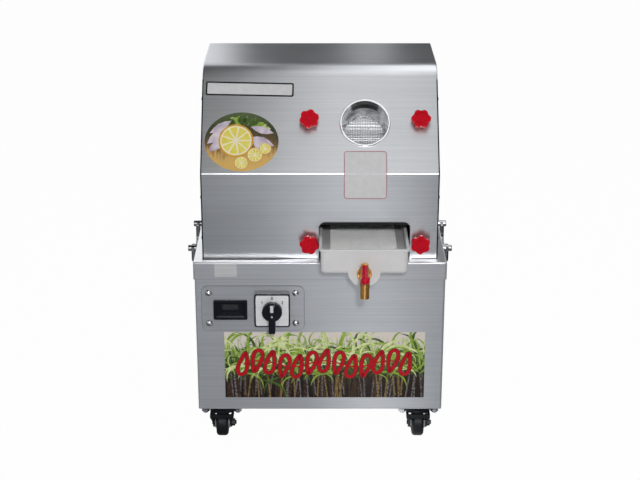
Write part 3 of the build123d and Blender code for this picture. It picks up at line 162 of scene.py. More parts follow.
class Graph:
    """Small helper that adds and links the nodes of one tree."""

    def __init__(self, tree: bpy.types.NodeTree) -> None:
        """Keep the tree."""
        self.tree = tree

    def add(self, kind: str, settings: dict | None = None, **inputs: object) -> bpy.types.Node:
        """Add a node.

        Args:
            kind: Blender's node type.
            settings: Attributes of the node itself.
            inputs: Input sockets by name, with underscores for spaces, as values or as output sockets.

        Returns:
            The new node.
        """
        node = self.tree.nodes.new(kind)
        for key, value in (settings or {}).items():
            setattr(node, key, value)
        for key, value in inputs.items():
            self.feed(node.inputs[key.replace("_", " ")], value)
        return node

    def feed(self, socket: bpy.types.NodeSocket, value: object) -> None:
        """Set a socket's value, or link an output socket to it."""
        if isinstance(value, bpy.types.NodeSocket):
            self.tree.links.new(value, socket)
        elif isinstance(value, tuple) and len(value) == 3 and socket.type == "RGBA":
            socket.default_value = (*value, 1.0)
        else:
            socket.default_value = value

    def math(self, operation: str, first: object, second: object = 0.0) -> bpy.types.NodeSocket:
        """Add a Math node and return its output."""
        node = self.add("ShaderNodeMath", {"operation": operation})
        self.feed(node.inputs[0], first)
        self.feed(node.inputs[1], second)
        return node.outputs[0]

    def mix(self, share: object, low: object, high: object) -> bpy.types.NodeSocket:
        """Mix two colours by a share and return the colour."""
        node = self.add("ShaderNodeMix", {"data_type": "RGBA"})
        self.feed(node.inputs[0], share)
        self.feed(node.inputs[6], low)
        self.feed(node.inputs[7], high)
        return node.outputs[2]

    def times(self, first: object, second: object) -> bpy.types.NodeSocket:
        """Multiply two values and return the product."""
        return self.math("MULTIPLY", first, second)

    def plus(self, first: object, second: object) -> bpy.types.NodeSocket:
        """Add two values and return the sum."""
        return self.math("ADD", first, second)

    def above(self, value: object, limit: float) -> bpy.types.NodeSocket:
        """Return one where a value is above a limit, and zero elsewhere."""
        return self.math("GREATER_THAN", value, limit)

    def vectors(self, operation: str, first: object, second: object) -> bpy.types.Node:
        """Add a Vector Math node."""
        node = self.add("ShaderNodeVectorMath", {"operation": operation})
        self.feed(node.inputs[0], first)
        self.feed(node.inputs[1], second)
        return node

    def xyz(self, **parts: object) -> bpy.types.NodeSocket:
        """Combine X, Y and Z into a vector and return it."""
        return self.add("ShaderNodeCombineXYZ", **parts).outputs[0]

    def split(self, vector: object) -> list[bpy.types.NodeSocket]:
        """Take a vector apart and return its X, Y and Z."""
        return list(self.add("ShaderNodeSeparateXYZ", Vector=vector).outputs)

    def span(
        self, value: object, ends: Point, tones: tuple[object, object] = (0.0, 1.0), smooth: bool = False
    ) -> bpy.types.NodeSocket:
        """Map a value from one range to another.

        Args:
            value: The value.
            ends: Range that it comes from and is kept within.
            tones: Range that it is mapped to.
            smooth: Whether it eases in and out.

        Returns:
            The mapped value.
        """
        settings = {"interpolation_type": "SMOOTHSTEP" if smooth else "LINEAR"}
        node = self.add("ShaderNodeMapRange", settings, Value=value, From_Min=ends[0], From_Max=ends[1])
        self.feed(node.inputs["To Min"], tones[0])
        self.feed(node.inputs["To Max"], tones[1])
        return node.outputs[0]

    def remap(self, value: object, low: float, high: float) -> bpy.types.NodeSocket:
        """Stretch the middle of a noise value to a range and return it."""
        return self.span(value, NOISE_RANGE, (low, high))

    def random(self, seed: object, low: float = 0.0, high: float = 1.0) -> bpy.types.NodeSocket:
        """Add a Random Value node and return its number."""
        node = self.add("FunctionNodeRandomValue", {"data_type": "FLOAT"}, Seed=seed)
        node.inputs[2].default_value = low
        node.inputs[3].default_value = high
        return node.outputs[1]

    def line(self, start: object, end: object) -> bpy.types.NodeSocket:
        """Add a straight curve and return it."""
        return self.add("GeometryNodeCurvePrimitiveLine", Start=start, End=end).outputs[0]

    def sweep(self, curve: object, profile: object, scale: object = 1.0) -> bpy.types.NodeSocket:
        """Sweep a profile along a curve and return the mesh."""
        node = self.add("GeometryNodeCurveToMesh", Curve=curve, Profile_Curve=profile, Scale=scale)
        return node.outputs[0]


def new_group(name: str, inputs: dict[str, str], outputs: Iterable[str]) -> tuple[Graph, object, object]:
    """Start a shader node group.

    Args:
        name: Name of the group.
        inputs: Input names with their socket types.
        outputs: Names of the value outputs.

    Returns:
        The group's graph, its input node and its output node.
    """
    tree = bpy.data.node_groups.new(name, "ShaderNodeTree")
    for key, kind in inputs.items():
        tree.interface.new_socket(key, in_out="INPUT", socket_type=kind)
    for key in outputs:
        tree.interface.new_socket(key, in_out="OUTPUT", socket_type="NodeSocketFloat")
    graph = Graph(tree)
    return graph, graph.add("NodeGroupInput"), graph.add("NodeGroupOutput")


def brushed_grain_group() -> bpy.types.NodeTree:
    """Streaks along the brushing direction, turned to run along Y on the side faces, and soft clouds."""
    graph, source, sink = new_group(
        "Brushed Grain",
        {"Vector": "NodeSocketVector", "Normal": "NodeSocketVector", "Grain": "NodeSocketVector",
         "Cloud Scale": "NodeSocketFloat"},
        ("Streak", "Cloud"),
    )
    vector, grain = source.outputs["Vector"], source.outputs["Grain"]
    facing = graph.split(source.outputs["Normal"])[0]
    along, across, upright = graph.split(grain)
    scale = graph.add("ShaderNodeMix", {"data_type": "VECTOR"})
    graph.feed(scale.inputs[0], graph.above(graph.math("ABSOLUTE", facing), 0.7))
    graph.feed(scale.inputs[4], grain)
    graph.feed(scale.inputs[5], graph.xyz(X=across, Y=along, Z=upright))
    stretched = graph.vectors("MULTIPLY", vector, scale.outputs[1]).outputs[0]
    streak = graph.add("ShaderNodeTexNoise", Vector=stretched, Scale=1.0, Detail=4.0, Roughness=0.65)
    cloud = graph.add("ShaderNodeTexNoise", Vector=vector, Scale=source.outputs["Cloud Scale"], Detail=3.0)
    graph.feed(sink.inputs["Streak"], streak.outputs["Fac"])
    graph.feed(sink.inputs["Cloud"], cloud.outputs["Fac"])
    return graph.tree


def moulded_grain_group() -> bpy.types.NodeTree:
    """Fine pebbled height and slow mottling, for mouldings, castings and paint."""
    graph, source, sink = new_group(
        "Moulded Grain",
        {"Vector": "NodeSocketVector", "Scale": "NodeSocketFloat", "Mottle Scale": "NodeSocketFloat"},
        ("Height", "Mottle"),
    )
    vector = source.outputs["Vector"]
    pebble = graph.add("ShaderNodeTexVoronoi", Vector=vector, Scale=source.outputs["Scale"])
    fine = graph.add("ShaderNodeTexNoise", Vector=vector, Scale=source.outputs["Scale"], Detail=3.0)
    height = graph.plus(pebble.outputs["Distance"], fine.outputs["Fac"])
    mottle = graph.add("ShaderNodeTexNoise", Vector=vector, Scale=source.outputs["Mottle Scale"], Detail=4.0)
    graph.feed(sink.inputs["Height"], graph.times(height, 0.5))
    graph.feed(sink.inputs["Mottle"], mottle.outputs["Fac"])
    return graph.tree


def handling_marks_group() -> bpy.types.NodeTree:
    """Soft patches where hands and cloths have dulled a surface."""
    graph, source, sink = new_group(
        "Handling Marks", {"Vector": "NodeSocketVector", "Scale": "NodeSocketFloat"}, ("Mask",)
    )
    noise = graph.add(
        "ShaderNodeTexNoise", Vector=source.outputs["Vector"], Scale=source.outputs["Scale"], Detail=5.0,
        Distortion=0.6,
    )
    graph.feed(sink.inputs["Mask"], graph.remap(noise.outputs["Fac"], 0.0, 1.0))
    return graph.tree


BRUSHED_GRAIN = brushed_grain_group()
MOULDED_GRAIN = moulded_grain_group()
HANDLING_MARKS = handling_marks_group()


def start_material(name: str) -> tuple[Graph, bpy.types.Node, bpy.types.Node, bpy.types.Material]:
    """Start a node material.

    Args:
        name: Name of the finish.

    Returns:
        Its graph, its Principled BSDF, its coordinates and the material.
    """
    material = bpy.data.materials.new(name)
    material.use_nodes = True
    graph = Graph(material.node_tree)
    shader = material.node_tree.nodes["Principled BSDF"]
    return graph, shader, graph.add("ShaderNodeTexCoord"), material


def use_group(graph: Graph, tree: bpy.types.NodeTree, **inputs: object) -> bpy.types.Node:
    """Place a shared node group in a material with its own values."""
    node = graph.add("ShaderNodeGroup", {"node_tree": tree})
    for key, value in inputs.items():
        graph.feed(node.inputs[key.replace("_", " ")], value)
    return node


def bump(graph: Graph, shader: bpy.types.Node, height: object, strength: float, distance: float) -> None:
    """Feed a height into the shader's normal."""
    node = graph.add("ShaderNodeBump", Height=height, Strength=strength, Distance=distance)
    graph.feed(shader.inputs["Normal"], node.outputs[0])


def add_skin(
    graph: Graph, shader: bpy.types.Node, vector: object, scales: Scales, dulling: float, roughness: float
) -> bpy.types.Node:
    """Add a moulded skin, and a roughness that handling marks raise.

    Args:
        graph: The material's graph.
        shader: Its Principled BSDF.
        vector: Coordinates of the surface.
        scales: Grains, mottles and handling marks per metre.
        dulling: How much the marks add to the roughness.
        roughness: Roughness where clean.

    Returns:
        The skin's node, with the outputs Height and Mottle.
    """
    grains, mottles, marks = scales
    mask = use_group(graph, HANDLING_MARKS, Vector=vector, Scale=marks).outputs["Mask"]
    graph.feed(shader.inputs["Roughness"], graph.plus(graph.times(mask, dulling), roughness))
    return use_group(graph, MOULDED_GRAIN, Vector=vector, Scale=grains, Mottle_Scale=mottles)


@dataclass(frozen=True)
class SheetSteel:
    """Brushed or polished steel.

    Attributes:
        name: Name of the finish.
        dark: Colour in the streaks' valleys.
        light: Colour on their crests.
        smooth: Lowest roughness.
        rough: Highest roughness.
        grain: Brushing direction.
        depth: Strength of the brushed relief.
        metallic: One for a clean mirror, less for a film that scatters light.
        lit_top_colour: Painted light: colour where the sheet faces up, painted brighter as if lit from above.
        polished_from: Distance from the middle plane past which what faces up is polished, in millimetres.
        polish: What metallic becomes where it is polished.
        streak_share: Share of the streaks in the tone; clouds have the rest.
        dulling: How much handling marks add to the roughness.
    """

    name: str
    dark: Colour
    light: Colour
    smooth: float
    rough: float
    grain: GrainAxis = GrainAxis.ACROSS
    depth: float = 0.12
    metallic: float = 0.94
    lit_top_colour: Colour | None = None
    polished_from: float = 0.0
    polish: float = 0.95
    streak_share: float = 0.55
    dulling: float = 0.04

    def build(self) -> bpy.types.Material:
        """Build the material."""
        graph, shader, coords, material = start_material(self.name)
        vector, normal = coords.outputs["Object"], coords.outputs["Normal"]
        grain = use_group(
            graph, BRUSHED_GRAIN, Vector=vector, Normal=normal, Grain=self.grain.value, Cloud_Scale=7.0
        )
        streak = graph.times(graph.remap(grain.outputs["Streak"], -0.2, 1.2), self.streak_share)
        tone = graph.plus(streak, graph.times(grain.outputs["Cloud"], 1.0 - self.streak_share))
        colour = graph.mix(graph.remap(tone, 0.0, 1.0), self.dark, self.light)
        shader.inputs["Metallic"].default_value = self.metallic
        if self.lit_top_colour is not None:
            # Painted light: faces that point up take the brighter lit_top_colour.
            facing_up = graph.above(graph.split(normal)[2], 0.8)
            colour = graph.mix(facing_up, colour, self.lit_top_colour)
            ends = graph.above(graph.math("ABSOLUTE", graph.split(vector)[0]), self.polished_from * MM)
            gain = graph.times(graph.times(ends, facing_up), self.polish - self.metallic)
            graph.feed(shader.inputs["Metallic"], graph.plus(gain, self.metallic))
        graph.feed(shader.inputs["Base Color"], colour)
        marks = use_group(graph, HANDLING_MARKS, Vector=vector, Scale=11.0)
        base = graph.remap(grain.outputs["Streak"], self.smooth, self.rough)
        dulled = graph.times(marks.outputs["Mask"], self.dulling)
        graph.feed(shader.inputs["Roughness"], graph.plus(base, dulled))
        bump(graph, shader, grain.outputs["Streak"], self.depth, STEEL_RELIEF)
        return material


@dataclass(frozen=True)
class KnurledSteel:
    """Fluted roller steel, broken into teeth by shallow, wandering rings round the roller.

    Attributes:
        name: Name of the finish.
        dark: Colour in the rings' grooves.
        light: Colour on the teeth.
        pitch: Distance between the rings in millimetres.
        roughness: Roughness of the teeth.
        wander: How far the rings stray, in radians of their wave.
    """

    name: str
    dark: Colour
    light: Colour
    pitch: float
    roughness: float
    wander: float = 9.0

    def build(self) -> bpy.types.Material:
        """Build the material."""
        graph, shader, coords, material = start_material(self.name)
        vector = coords.outputs["Object"]
        skin = add_skin(graph, shader, vector, (700.0, 300.0, 40.0), 0.1, self.roughness)
        mottle = skin.outputs["Mottle"]
        turns = graph.times(graph.split(vector)[0], 2 * math.pi / (self.pitch * MM))
        wave = graph.math("SINE", graph.plus(turns, graph.times(mottle, self.wander)))
        ridge = graph.plus(graph.times(wave, 0.5), 0.5)
        # Lighter on the teeth and darker in the rings' grooves, broken up by the mottle.
        tone_share = graph.times(ridge, graph.remap(mottle, 0.2, 1.2))
        graph.feed(shader.inputs["Base Color"], graph.mix(tone_share, self.dark, self.light))
        shader.inputs["Metallic"].default_value = 0.6
        bump(graph, shader, graph.plus(ridge, mottle), 0.06, 0.0010)
        return material


@dataclass(frozen=True)
class PortSteel:
    """Polished feed port: a bright collar outside the hood's slope and a wall with a shadow within.

    Attributes:
        name: Name of the finish.
        wall: Colour inside.
        collar: Colour of the part that stands proud.
        roughness: Roughness of both.
        mouth_up: Where the mouth's centre lies, up the slope from the fold.
        shadow_up: Where the wall's shadow sets in and is full, up the slope from the mouth's centre.
        shadow_depth: Where it ends and is full, outwards from the panel.
    """

    name: str
    wall: Colour
    collar: Colour
    roughness: float
    mouth_up: float
    shadow_up: Point = (32.0, 36.0)
    shadow_depth: Point = (-32.0, -27.0)

    def build(self) -> bpy.types.Material:
        """Build the material."""
        graph, shader, coords, material = start_material(self.name)
        vector = coords.outputs["Object"]
        origin = on_slope(0.0, 0.0, 0.0)
        outwards = (on_slope(0.0, 0.0, 1.0) - origin).normalized()
        upwards = (on_slope(0.0, 1.0, 0.0) - origin).normalized()
        height = graph.vectors("DOT_PRODUCT", vector, outwards).outputs["Value"]
        rise = graph.vectors("DOT_PRODUCT", vector, upwards).outputs["Value"]
        proud = graph.above(height, on_slope(0.0, 0.0, 0.3).dot(outwards))
        normal = coords.outputs["Normal"]
        across = GrainAxis.ACROSS.value
        grain = use_group(graph, BRUSHED_GRAIN, Vector=vector, Normal=normal, Grain=across, Cloud_Scale=40.0)
        centre = on_slope(0.0, self.mouth_up, 0.0).dot(upwards)
        panel = origin.dot(outwards)
        high = graph.span(rise, tuple(centre + end * MM for end in self.shadow_up), smooth=True)
        near = graph.span(height, tuple(panel + end * MM for end in self.shadow_depth), smooth=True)
        deep = tuple(0.015 * part for part in self.wall)
        wall = graph.mix(graph.times(high, near), self.wall, deep)
        clouded = graph.math("MAXIMUM", graph.remap(grain.outputs["Cloud"], 0.22, 1.0), proud)
        colour = graph.mix(proud, wall, self.collar)
        graph.feed(shader.inputs["Base Color"], graph.mix(clouded, (0.0, 0.0, 0.0), colour))
        streaked = graph.times(grain.outputs["Streak"], 0.06)
        graph.feed(shader.inputs["Roughness"], graph.plus(streaked, self.roughness))
        shader.inputs["Metallic"].default_value = 1.0
        bump(graph, shader, grain.outputs["Streak"], 0.05, STEEL_RELIEF)
        return material


@dataclass(frozen=True)
class Casting:
    """Cast, plated or painted metal with a fine skin.

    Attributes:
        name: Name of the finish.
        colour: Main colour.
        shade: Colour in dull patches.
        roughness: Roughness where clean.
        metallic: One for bare metal and zero for paint.
        scale: Grains per metre.
        depth: Strength of the skin's relief.
        specular: Strength of the paint's own shine.
        edge: Painted shade: how much darker the colour gets where the surface turns away from the view.
    """

    name: str
    colour: Colour
    shade: Colour
    roughness: float
    metallic: float = 1.0
    scale: float = 900.0
    depth: float = 0.05
    specular: float = 0.5
    edge: float = 0.0

    def build(self) -> bpy.types.Material:
        """Build the material."""
        graph, shader, coords, material = start_material(self.name)
        scales = (self.scale, 60.0, 45.0)
        skin = add_skin(graph, shader, coords.outputs["Object"], scales, 0.12, self.roughness)
        colour = graph.mix(graph.remap(skin.outputs["Mottle"], 0.0, 1.0), self.shade, self.colour)
        if self.edge > 0.0:
            # Painted shade: darker towards the grazing edges as seen from the view, standing in for dark
            # reflections there.
            grazing = graph.add("ShaderNodeLayerWeight", Blend=0.5).outputs["Facing"]
            deep = tuple(0.05 * part for part in self.shade)
            colour = graph.mix(graph.times(grazing, self.edge), colour, deep)
        graph.feed(shader.inputs["Base Color"], colour)
        shader.inputs["Metallic"].default_value = self.metallic
        shader.inputs["Specular IOR Level"].default_value = self.specular
        bump(graph, shader, skin.outputs["Height"], self.depth, SKIN_RELIEF)
        return material


@dataclass(frozen=True)
class Moulding:
    """Moulded plastic or rubber.

    Attributes:
        name: Name of the finish.
        colour: Main colour.
        shade: Colour of the mottling.
        roughness: Roughness where clean.
        scale: Grains per metre.
        depth: Strength of the grain.
        coat: Weight of the glossy skin.
        specular: Strength of the plastic's own shine.
    """

    name: str
    colour: Colour
    shade: Colour
    roughness: float
    scale: float = 1400.0
    depth: float = 0.06
    coat: float = 0.0
    specular: float = 0.3

    def build(self) -> bpy.types.Material:
        """Build the material."""
        graph, shader, coords, material = start_material(self.name)
        scales = (self.scale, 35.0, 28.0)
        skin = add_skin(graph, shader, coords.outputs["Object"], scales, 0.1, self.roughness)
        share = graph.remap(skin.outputs["Mottle"], 0.0, 1.0)
        graph.feed(shader.inputs["Base Color"], graph.mix(share, self.shade, self.colour))
        shader.inputs["Coat Weight"].default_value = self.coat
        shader.inputs["Specular IOR Level"].default_value = self.specular
        bump(graph, shader, skin.outputs["Height"], self.depth, SKIN_RELIEF)
        return material


@dataclass(frozen=True)
class CasterTread:
    """Black wheel with a paler hub boss on each side, told apart by the distance from its middle plane.

    Attributes:
        name: Name of the finish.
        tread: Colour of the tread and the disc.
        boss: Colour of the hub bosses.
        middle: Distance of the wheels' middle planes from the machine's, in millimetres.
        half_width: Half the tread's width in millimetres.
    """

    name: str
    tread: Colour
    boss: Colour
    middle: float
    half_width: float

    def build(self) -> bpy.types.Material:
        """Build the material."""
        graph, shader, coords, material = start_material(self.name)
        vector = coords.outputs["Object"]
        across = graph.math("ABSOLUTE", graph.split(vector)[0])
        aside = graph.math("ABSOLUTE", graph.math("SUBTRACT", across, self.middle * MM))
        boss = graph.above(aside, self.half_width * MM)
        skin = add_skin(graph, shader, vector, (700.0, 35.0, 28.0), 0.1, 0.42)
        tone_share = graph.remap(skin.outputs["Mottle"], 0.75, 1.0)
        colour = graph.mix(boss, self.tread, self.boss)
        graph.feed(shader.inputs["Base Color"], graph.mix(tone_share, (0.0, 0.0, 0.0), colour))
        shader.inputs["Specular IOR Level"].default_value = DULL_SHINE
        bump(graph, shader, skin.outputs["Height"], 0.06, SKIN_RELIEF)
        return material


@dataclass(frozen=True)
class PrintInk:
    """Printed vinyl, mottled like a halftone.

    Attributes:
        name: Name of the finish.
        colour: Main colour.
        shade: Colour of the mottling.
        scale: Mottles per metre.
        roughness: Roughness of the vinyl.
    """

    name: str
    colour: Colour
    shade: Colour
    scale: float = 120.0
    roughness: float = 0.42

    def build(self) -> bpy.types.Material:
        """Build the material."""
        graph, shader, coords, material = start_material(self.name)
        scales = (2600.0, self.scale, 30.0)
        skin = add_skin(graph, shader, coords.outputs["Object"], scales, 0.08, self.roughness)
        share = graph.remap(skin.outputs["Mottle"], 0.0, 1.0)
        graph.feed(shader.inputs["Base Color"], graph.mix(share, self.shade, self.colour))
        shader.inputs["Specular IOR Level"].default_value = DULL_SHINE
        bump(graph, shader, skin.outputs["Height"], 0.03, PRINT_RELIEF)
        return material


@dataclass(frozen=True)
class FieldPrint:
    """Printed picture ground whose colour changes with height.

    Attributes:
        name: Name of the finish.
        low: Height of its lower edge in millimetres.
        high: Height of its upper edge in millimetres.
        stops: Shares of the height with their colours, from the bottom up.
        ragged: How far the bands run into each other.
    """

    name: str
    low: float
    high: float
    stops: tuple[tuple[float, Colour], ...]
    ragged: float

    def build(self) -> bpy.types.Material:
        """Build the material."""
        graph, shader, coords, material = start_material(self.name)
        vector = coords.outputs["Object"]
        share = graph.span(graph.split(vector)[2], (self.low * MM, self.high * MM))
        blades = graph.vectors("MULTIPLY", vector, (240.0, 1.0, 55.0)).outputs[0]
        noise = graph.add("ShaderNodeTexNoise", Vector=blades, Scale=1.0, Detail=4.0, Distortion=0.8)
        spread = graph.remap(noise.outputs["Fac"], -self.ragged, self.ragged)
        ramp = graph.add("ShaderNodeValToRGB", Fac=graph.plus(share, spread))
        elements = ramp.color_ramp.elements
        while len(elements) < len(self.stops):
            elements.new(0.5)
        for element, (place, colour) in zip(elements, self.stops):
            element.position = place
            element.color = (*colour, 1.0)
        graph.feed(shader.inputs["Base Color"], ramp.outputs["Color"])
        skin = use_group(graph, MOULDED_GRAIN, Vector=vector, Scale=2600.0, Mottle_Scale=50.0)
        dulled = graph.times(skin.outputs["Mottle"], 0.12)
        graph.feed(shader.inputs["Roughness"], graph.plus(dulled, 0.36))
        shader.inputs["Specular IOR Level"].default_value = DULL_SHINE
        bump(graph, shader, skin.outputs["Height"], 0.03, PRINT_RELIEF)
        return material


class Finishes:
    """Every finish of the machine, each built once."""

    def __init__(self) -> None:
        """Build the materials."""
        steel_dark = (0.585, 0.600, 0.625)
        steel_light = (0.640, 0.655, 0.675)
        satin_dark = (0.445, 0.460, 0.490)
        satin_light = (0.500, 0.520, 0.545)
        self.hood = SheetSteel(
            "hood_brushed", steel_dark, steel_light, 0.28, 0.295, depth=0.005, metallic=0.96
        ).build()
        self.cabinet = SheetSteel(
            "cabinet_brushed", satin_dark, satin_light, 0.28, 0.34, depth=0.03, metallic=0.48
        ).build()
        # The deck carries painted light: its upward faces are painted brighter.
        self.deck = SheetSteel(
            "deck_brushed", satin_dark, satin_light, 0.28, 0.34, depth=0.04, metallic=0.48,
            lit_top_colour=(0.88, 0.90, 0.92), polished_from=212.0,
        ).build()
        self.plate = SheetSteel(
            "plate_brushed", satin_dark, satin_light, 0.28, 0.34, depth=0.04, metallic=0.60
        ).build()
        self.bright = SheetSteel(
            "polished_steel", (0.58, 0.59, 0.60), (0.70, 0.71, 0.72), 0.12, 0.22, depth=0.05
        ).build()
        self.mill = SheetSteel(
            "milled_plate", (0.30, 0.31, 0.33), (0.42, 0.43, 0.45), 0.32, 0.48, GrainAxis.UPRIGHT
        ).build()
        self.roller = KnurledSteel("roller_teeth", (0.56, 0.57, 0.58), (0.88, 0.89, 0.90), 4.6, 0.50).build()
        self.port = PortSteel("port_polish", (0.82, 0.835, 0.86), (0.92, 0.93, 0.94), 0.12, PORT_UP).build()
        self.weave = Casting("woven_wire", (0.97, 0.97, 0.96), (0.88, 0.88, 0.88), 0.45, metallic=0.0).build()
        self.strainer = Casting(
            "strainer_strip", (0.52, 0.52, 0.52), (0.44, 0.44, 0.45), 0.42, metallic=0.0
        ).build()
        # Chrome, the domes and brass carry painted shade at their grazing edges through edge.
        self.chrome = Casting(
            "chrome_plate", (0.72, 0.73, 0.75), (0.64, 0.65, 0.67), 0.10, depth=0.02, edge=1.0
        ).build()
        self.zinc = Casting("zinc_plate", (0.64, 0.65, 0.67), (0.50, 0.51, 0.53), 0.20).build()
        self.dome = Casting(
            "dome_plate", (0.80, 0.81, 0.83), (0.70, 0.71, 0.73), 0.14, depth=0.02, edge=1.0
        ).build()
        self.bronze = Casting("turned_bronze", (0.62, 0.42, 0.20), (0.50, 0.32, 0.14), 0.28).build()
        self.brass = Casting(
            "golden_brass", (0.96, 0.52, 0.17), (0.86, 0.44, 0.11), 0.15, metallic=0.84, depth=0.02, edge=0.35
        ).build()
        self.alloy = Casting(
            "cast_alloy", (0.58, 0.59, 0.60), (0.46, 0.47, 0.48), 0.42, scale=420.0, depth=0.15
        ).build()
        self.caster_paint = Casting(
            "caster_enamel", (0.010, 0.011, 0.014), (0.006, 0.006, 0.008), 0.34, metallic=0.0, scale=500.0,
            specular=0.25,
        ).build()
        self.motor_paint = Casting(
            "motor_enamel", (0.09, 0.10, 0.12), (0.06, 0.065, 0.08), 0.36, metallic=0.0, scale=400.0
        ).build()
        self.red = Moulding(
            "knob_red_gloss", (0.60, 0.001, 0.014), (0.50, 0.001, 0.010), 0.24, coat=0.05, specular=0.12
        ).build()
        self.grip = Moulding(
            "grip_red_dip", (0.58, 0.001, 0.022), (0.48, 0.001, 0.014), 0.16, coat=0.25, specular=0.12
        ).build()
        self.tray = Moulding("tray_white", (0.66, 0.66, 0.67), (0.62, 0.62, 0.63), 0.36, depth=0.03).build()
        self.black = Moulding("black_moulding", (0.009, 0.010, 0.012), (0.006, 0.006, 0.007), 0.40).build()
        self.black_gloss = Moulding("black_gloss", (0.003, 0.005, 0.011), (0.002, 0.003, 0.007), 0.24).build()
        self.switch_grey = Moulding("switch_grey", (0.30, 0.31, 0.33), (0.25, 0.26, 0.28), 0.42).build()
        self.wheel = CasterTread("wheel_tread", (0.009, 0.010, 0.012), (0.34, 0.35, 0.37), 183, 11.3).build()
        self.display = Moulding(
            "display_grey", (0.030, 0.033, 0.035), (0.022, 0.024, 0.026), 0.14, coat=0.4
        ).build()
        self.silver = SheetSteel(
            "switch_silver", (0.78, 0.79, 0.80), (0.84, 0.85, 0.86), 0.30, 0.42, depth=0.06, metallic=0.3
        ).build()
        self.label = SheetSteel(
            "label_silver", (0.54, 0.55, 0.56), (0.64, 0.65, 0.66), 0.34, 0.46, metallic=0.35
        ).build()
        self.white_ink = PrintInk("print_white", (0.63, 0.63, 0.64), (0.58, 0.58, 0.59)).build()
        self.black_ink = PrintInk("print_black", (0.010, 0.010, 0.012), (0.016, 0.016, 0.018)).build()
        # Grey used only for the painted shade strips under the skirt and round the control plate.
        self.shade_ink = PrintInk("painted_shade_grey", (0.22, 0.22, 0.23), (0.18, 0.18, 0.19)).build()
        self.faint_ink = PrintInk("print_faint_grey", (0.020, 0.022, 0.025), (0.015, 0.016, 0.018)).build()
        self.pink_ink = PrintInk("print_muted_pink", (0.46, 0.24, 0.26), (0.40, 0.20, 0.22)).build()
        self.red_ink = PrintInk("print_red", (0.52, 0.002, 0.012), (0.42, 0.001, 0.007)).build()
        self.edge_ink = PrintInk("print_dark_edge", (0.030, 0.055, 0.035), (0.014, 0.030, 0.020)).build()
        self.greens = [
            PrintInk("print_leaf_pale", (0.76, 0.79, 0.46), (0.42, 0.54, 0.14)).build(),
            PrintInk("print_leaf_fresh", (0.36, 0.49, 0.08), (0.16, 0.28, 0.03)).build(),
            PrintInk("print_leaf_deep", (0.08, 0.15, 0.03), (0.03, 0.06, 0.012)).build(),
        ]
        self.stalks = [
            PrintInk("print_stalk_brown", (0.085, 0.048, 0.028), (0.006, 0.004, 0.004), 260.0).build(),
            PrintInk("print_stalk_grey", (0.22, 0.20, 0.20), (0.012, 0.010, 0.012), 260.0).build(),
            PrintInk("print_stalk_ochre", (0.34, 0.23, 0.080), (0.05, 0.03, 0.012), 260.0).build(),
        ]
        self.field = FieldPrint(
            "print_field", 91, 223,
            ((0.0, (0.010, 0.006, 0.005)), (0.34, (0.020, 0.012, 0.008)), (0.48, (0.035, 0.05, 0.014)),
             (0.68, (0.20, 0.29, 0.06)), (0.86, (0.68, 0.62, 0.56))),
            0.16,
        ).build()
        self.oval_ground = FieldPrint(
            "print_oval", 523, 612,
            ((0.0, (0.66, 0.42, 0.12)), (0.24, (0.60, 0.38, 0.12)), (0.45, (0.16, 0.09, 0.04)),
             (0.70, (0.035, 0.045, 0.020)), (1.0, (0.09, 0.12, 0.05))),
            0.10,
        ).build()
        self.lavender = PrintInk("print_lavender", (0.70, 0.64, 0.70), (0.40, 0.32, 0.42), 60.0).build()
        self.fruit_skin = PrintInk("print_fruit_skin", (0.70, 0.40, 0.04), (0.58, 0.28, 0.02)).build()
        self.fruit_flesh = PrintInk("print_fruit_flesh", (0.76, 0.70, 0.16), (0.70, 0.58, 0.08)).build()
        self.fruit_pith = PrintInk("print_fruit_pith", (0.82, 0.78, 0.60), (0.78, 0.70, 0.46)).build()


def dress(material: bpy.types.Material, *names: str) -> None:
    """Give CAD nodes a finish.

    Args:
        material: The finish.
        names: Nodes by name.
    """
    for name in names:
        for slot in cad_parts[name].material_slots:
            slot.material = material
        LOG.info("dressed %s with %s", name, material.name)


def settle(piece: bpy.types.Object, body: str) -> None:
    """Fix a finished piece to a body.

    Args:
        piece: The piece, at the origin.
        body: Body that it moves with.
    """
    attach(piece, body)
    LOG.info("piece %s on %s", piece.name, body)


def add_object(name: str, data: bpy.types.ID) -> bpy.types.Object:
    """Add an object with its data to the scene.

    Args:
        name: Name of the object.
        data: Its mesh, curve, lamp or camera.

    Returns:
        The object.
    """
    item = bpy.data.objects.new(name, data)
    bpy.context.scene.collection.objects.link(item)
    return item


def evaluated_mesh(holder: bpy.types.Object, material: bpy.types.Material) -> bpy.types.Mesh:
    """Turn an object as it is evaluated into a plain mesh with one finish, and remove the object.

    Args:
        holder: The object, with its modifiers.
        material: The mesh's finish.

    Returns:
        The mesh.
    """
    depsgraph = bpy.context.evaluated_depsgraph_get()
    mesh = bpy.data.meshes.new_from_object(holder.evaluated_get(depsgraph), depsgraph=depsgraph)
    bpy.data.objects.remove(holder)
    mesh.materials.clear()
    mesh.materials.append(material)
    return mesh


def mesh_object(
    name: str, points: list[Vector], faces: list[tuple[int, ...]], material: bpy.types.Material
) -> bpy.types.Object:
    """Make a mesh object at the origin.

    Args:
        name: Name of the piece.
        points: Its vertices in metres.
        faces: Its faces as vertex numbers, facing outwards.
        material: Its finish.

    Returns:
        The object.
    """
    mesh = bpy.data.meshes.new(name)
    mesh.from_pydata([tuple(point) for point in points], [], faces)
    mesh.materials.append(material)
    mesh.validate()
    return add_object(name, mesh)


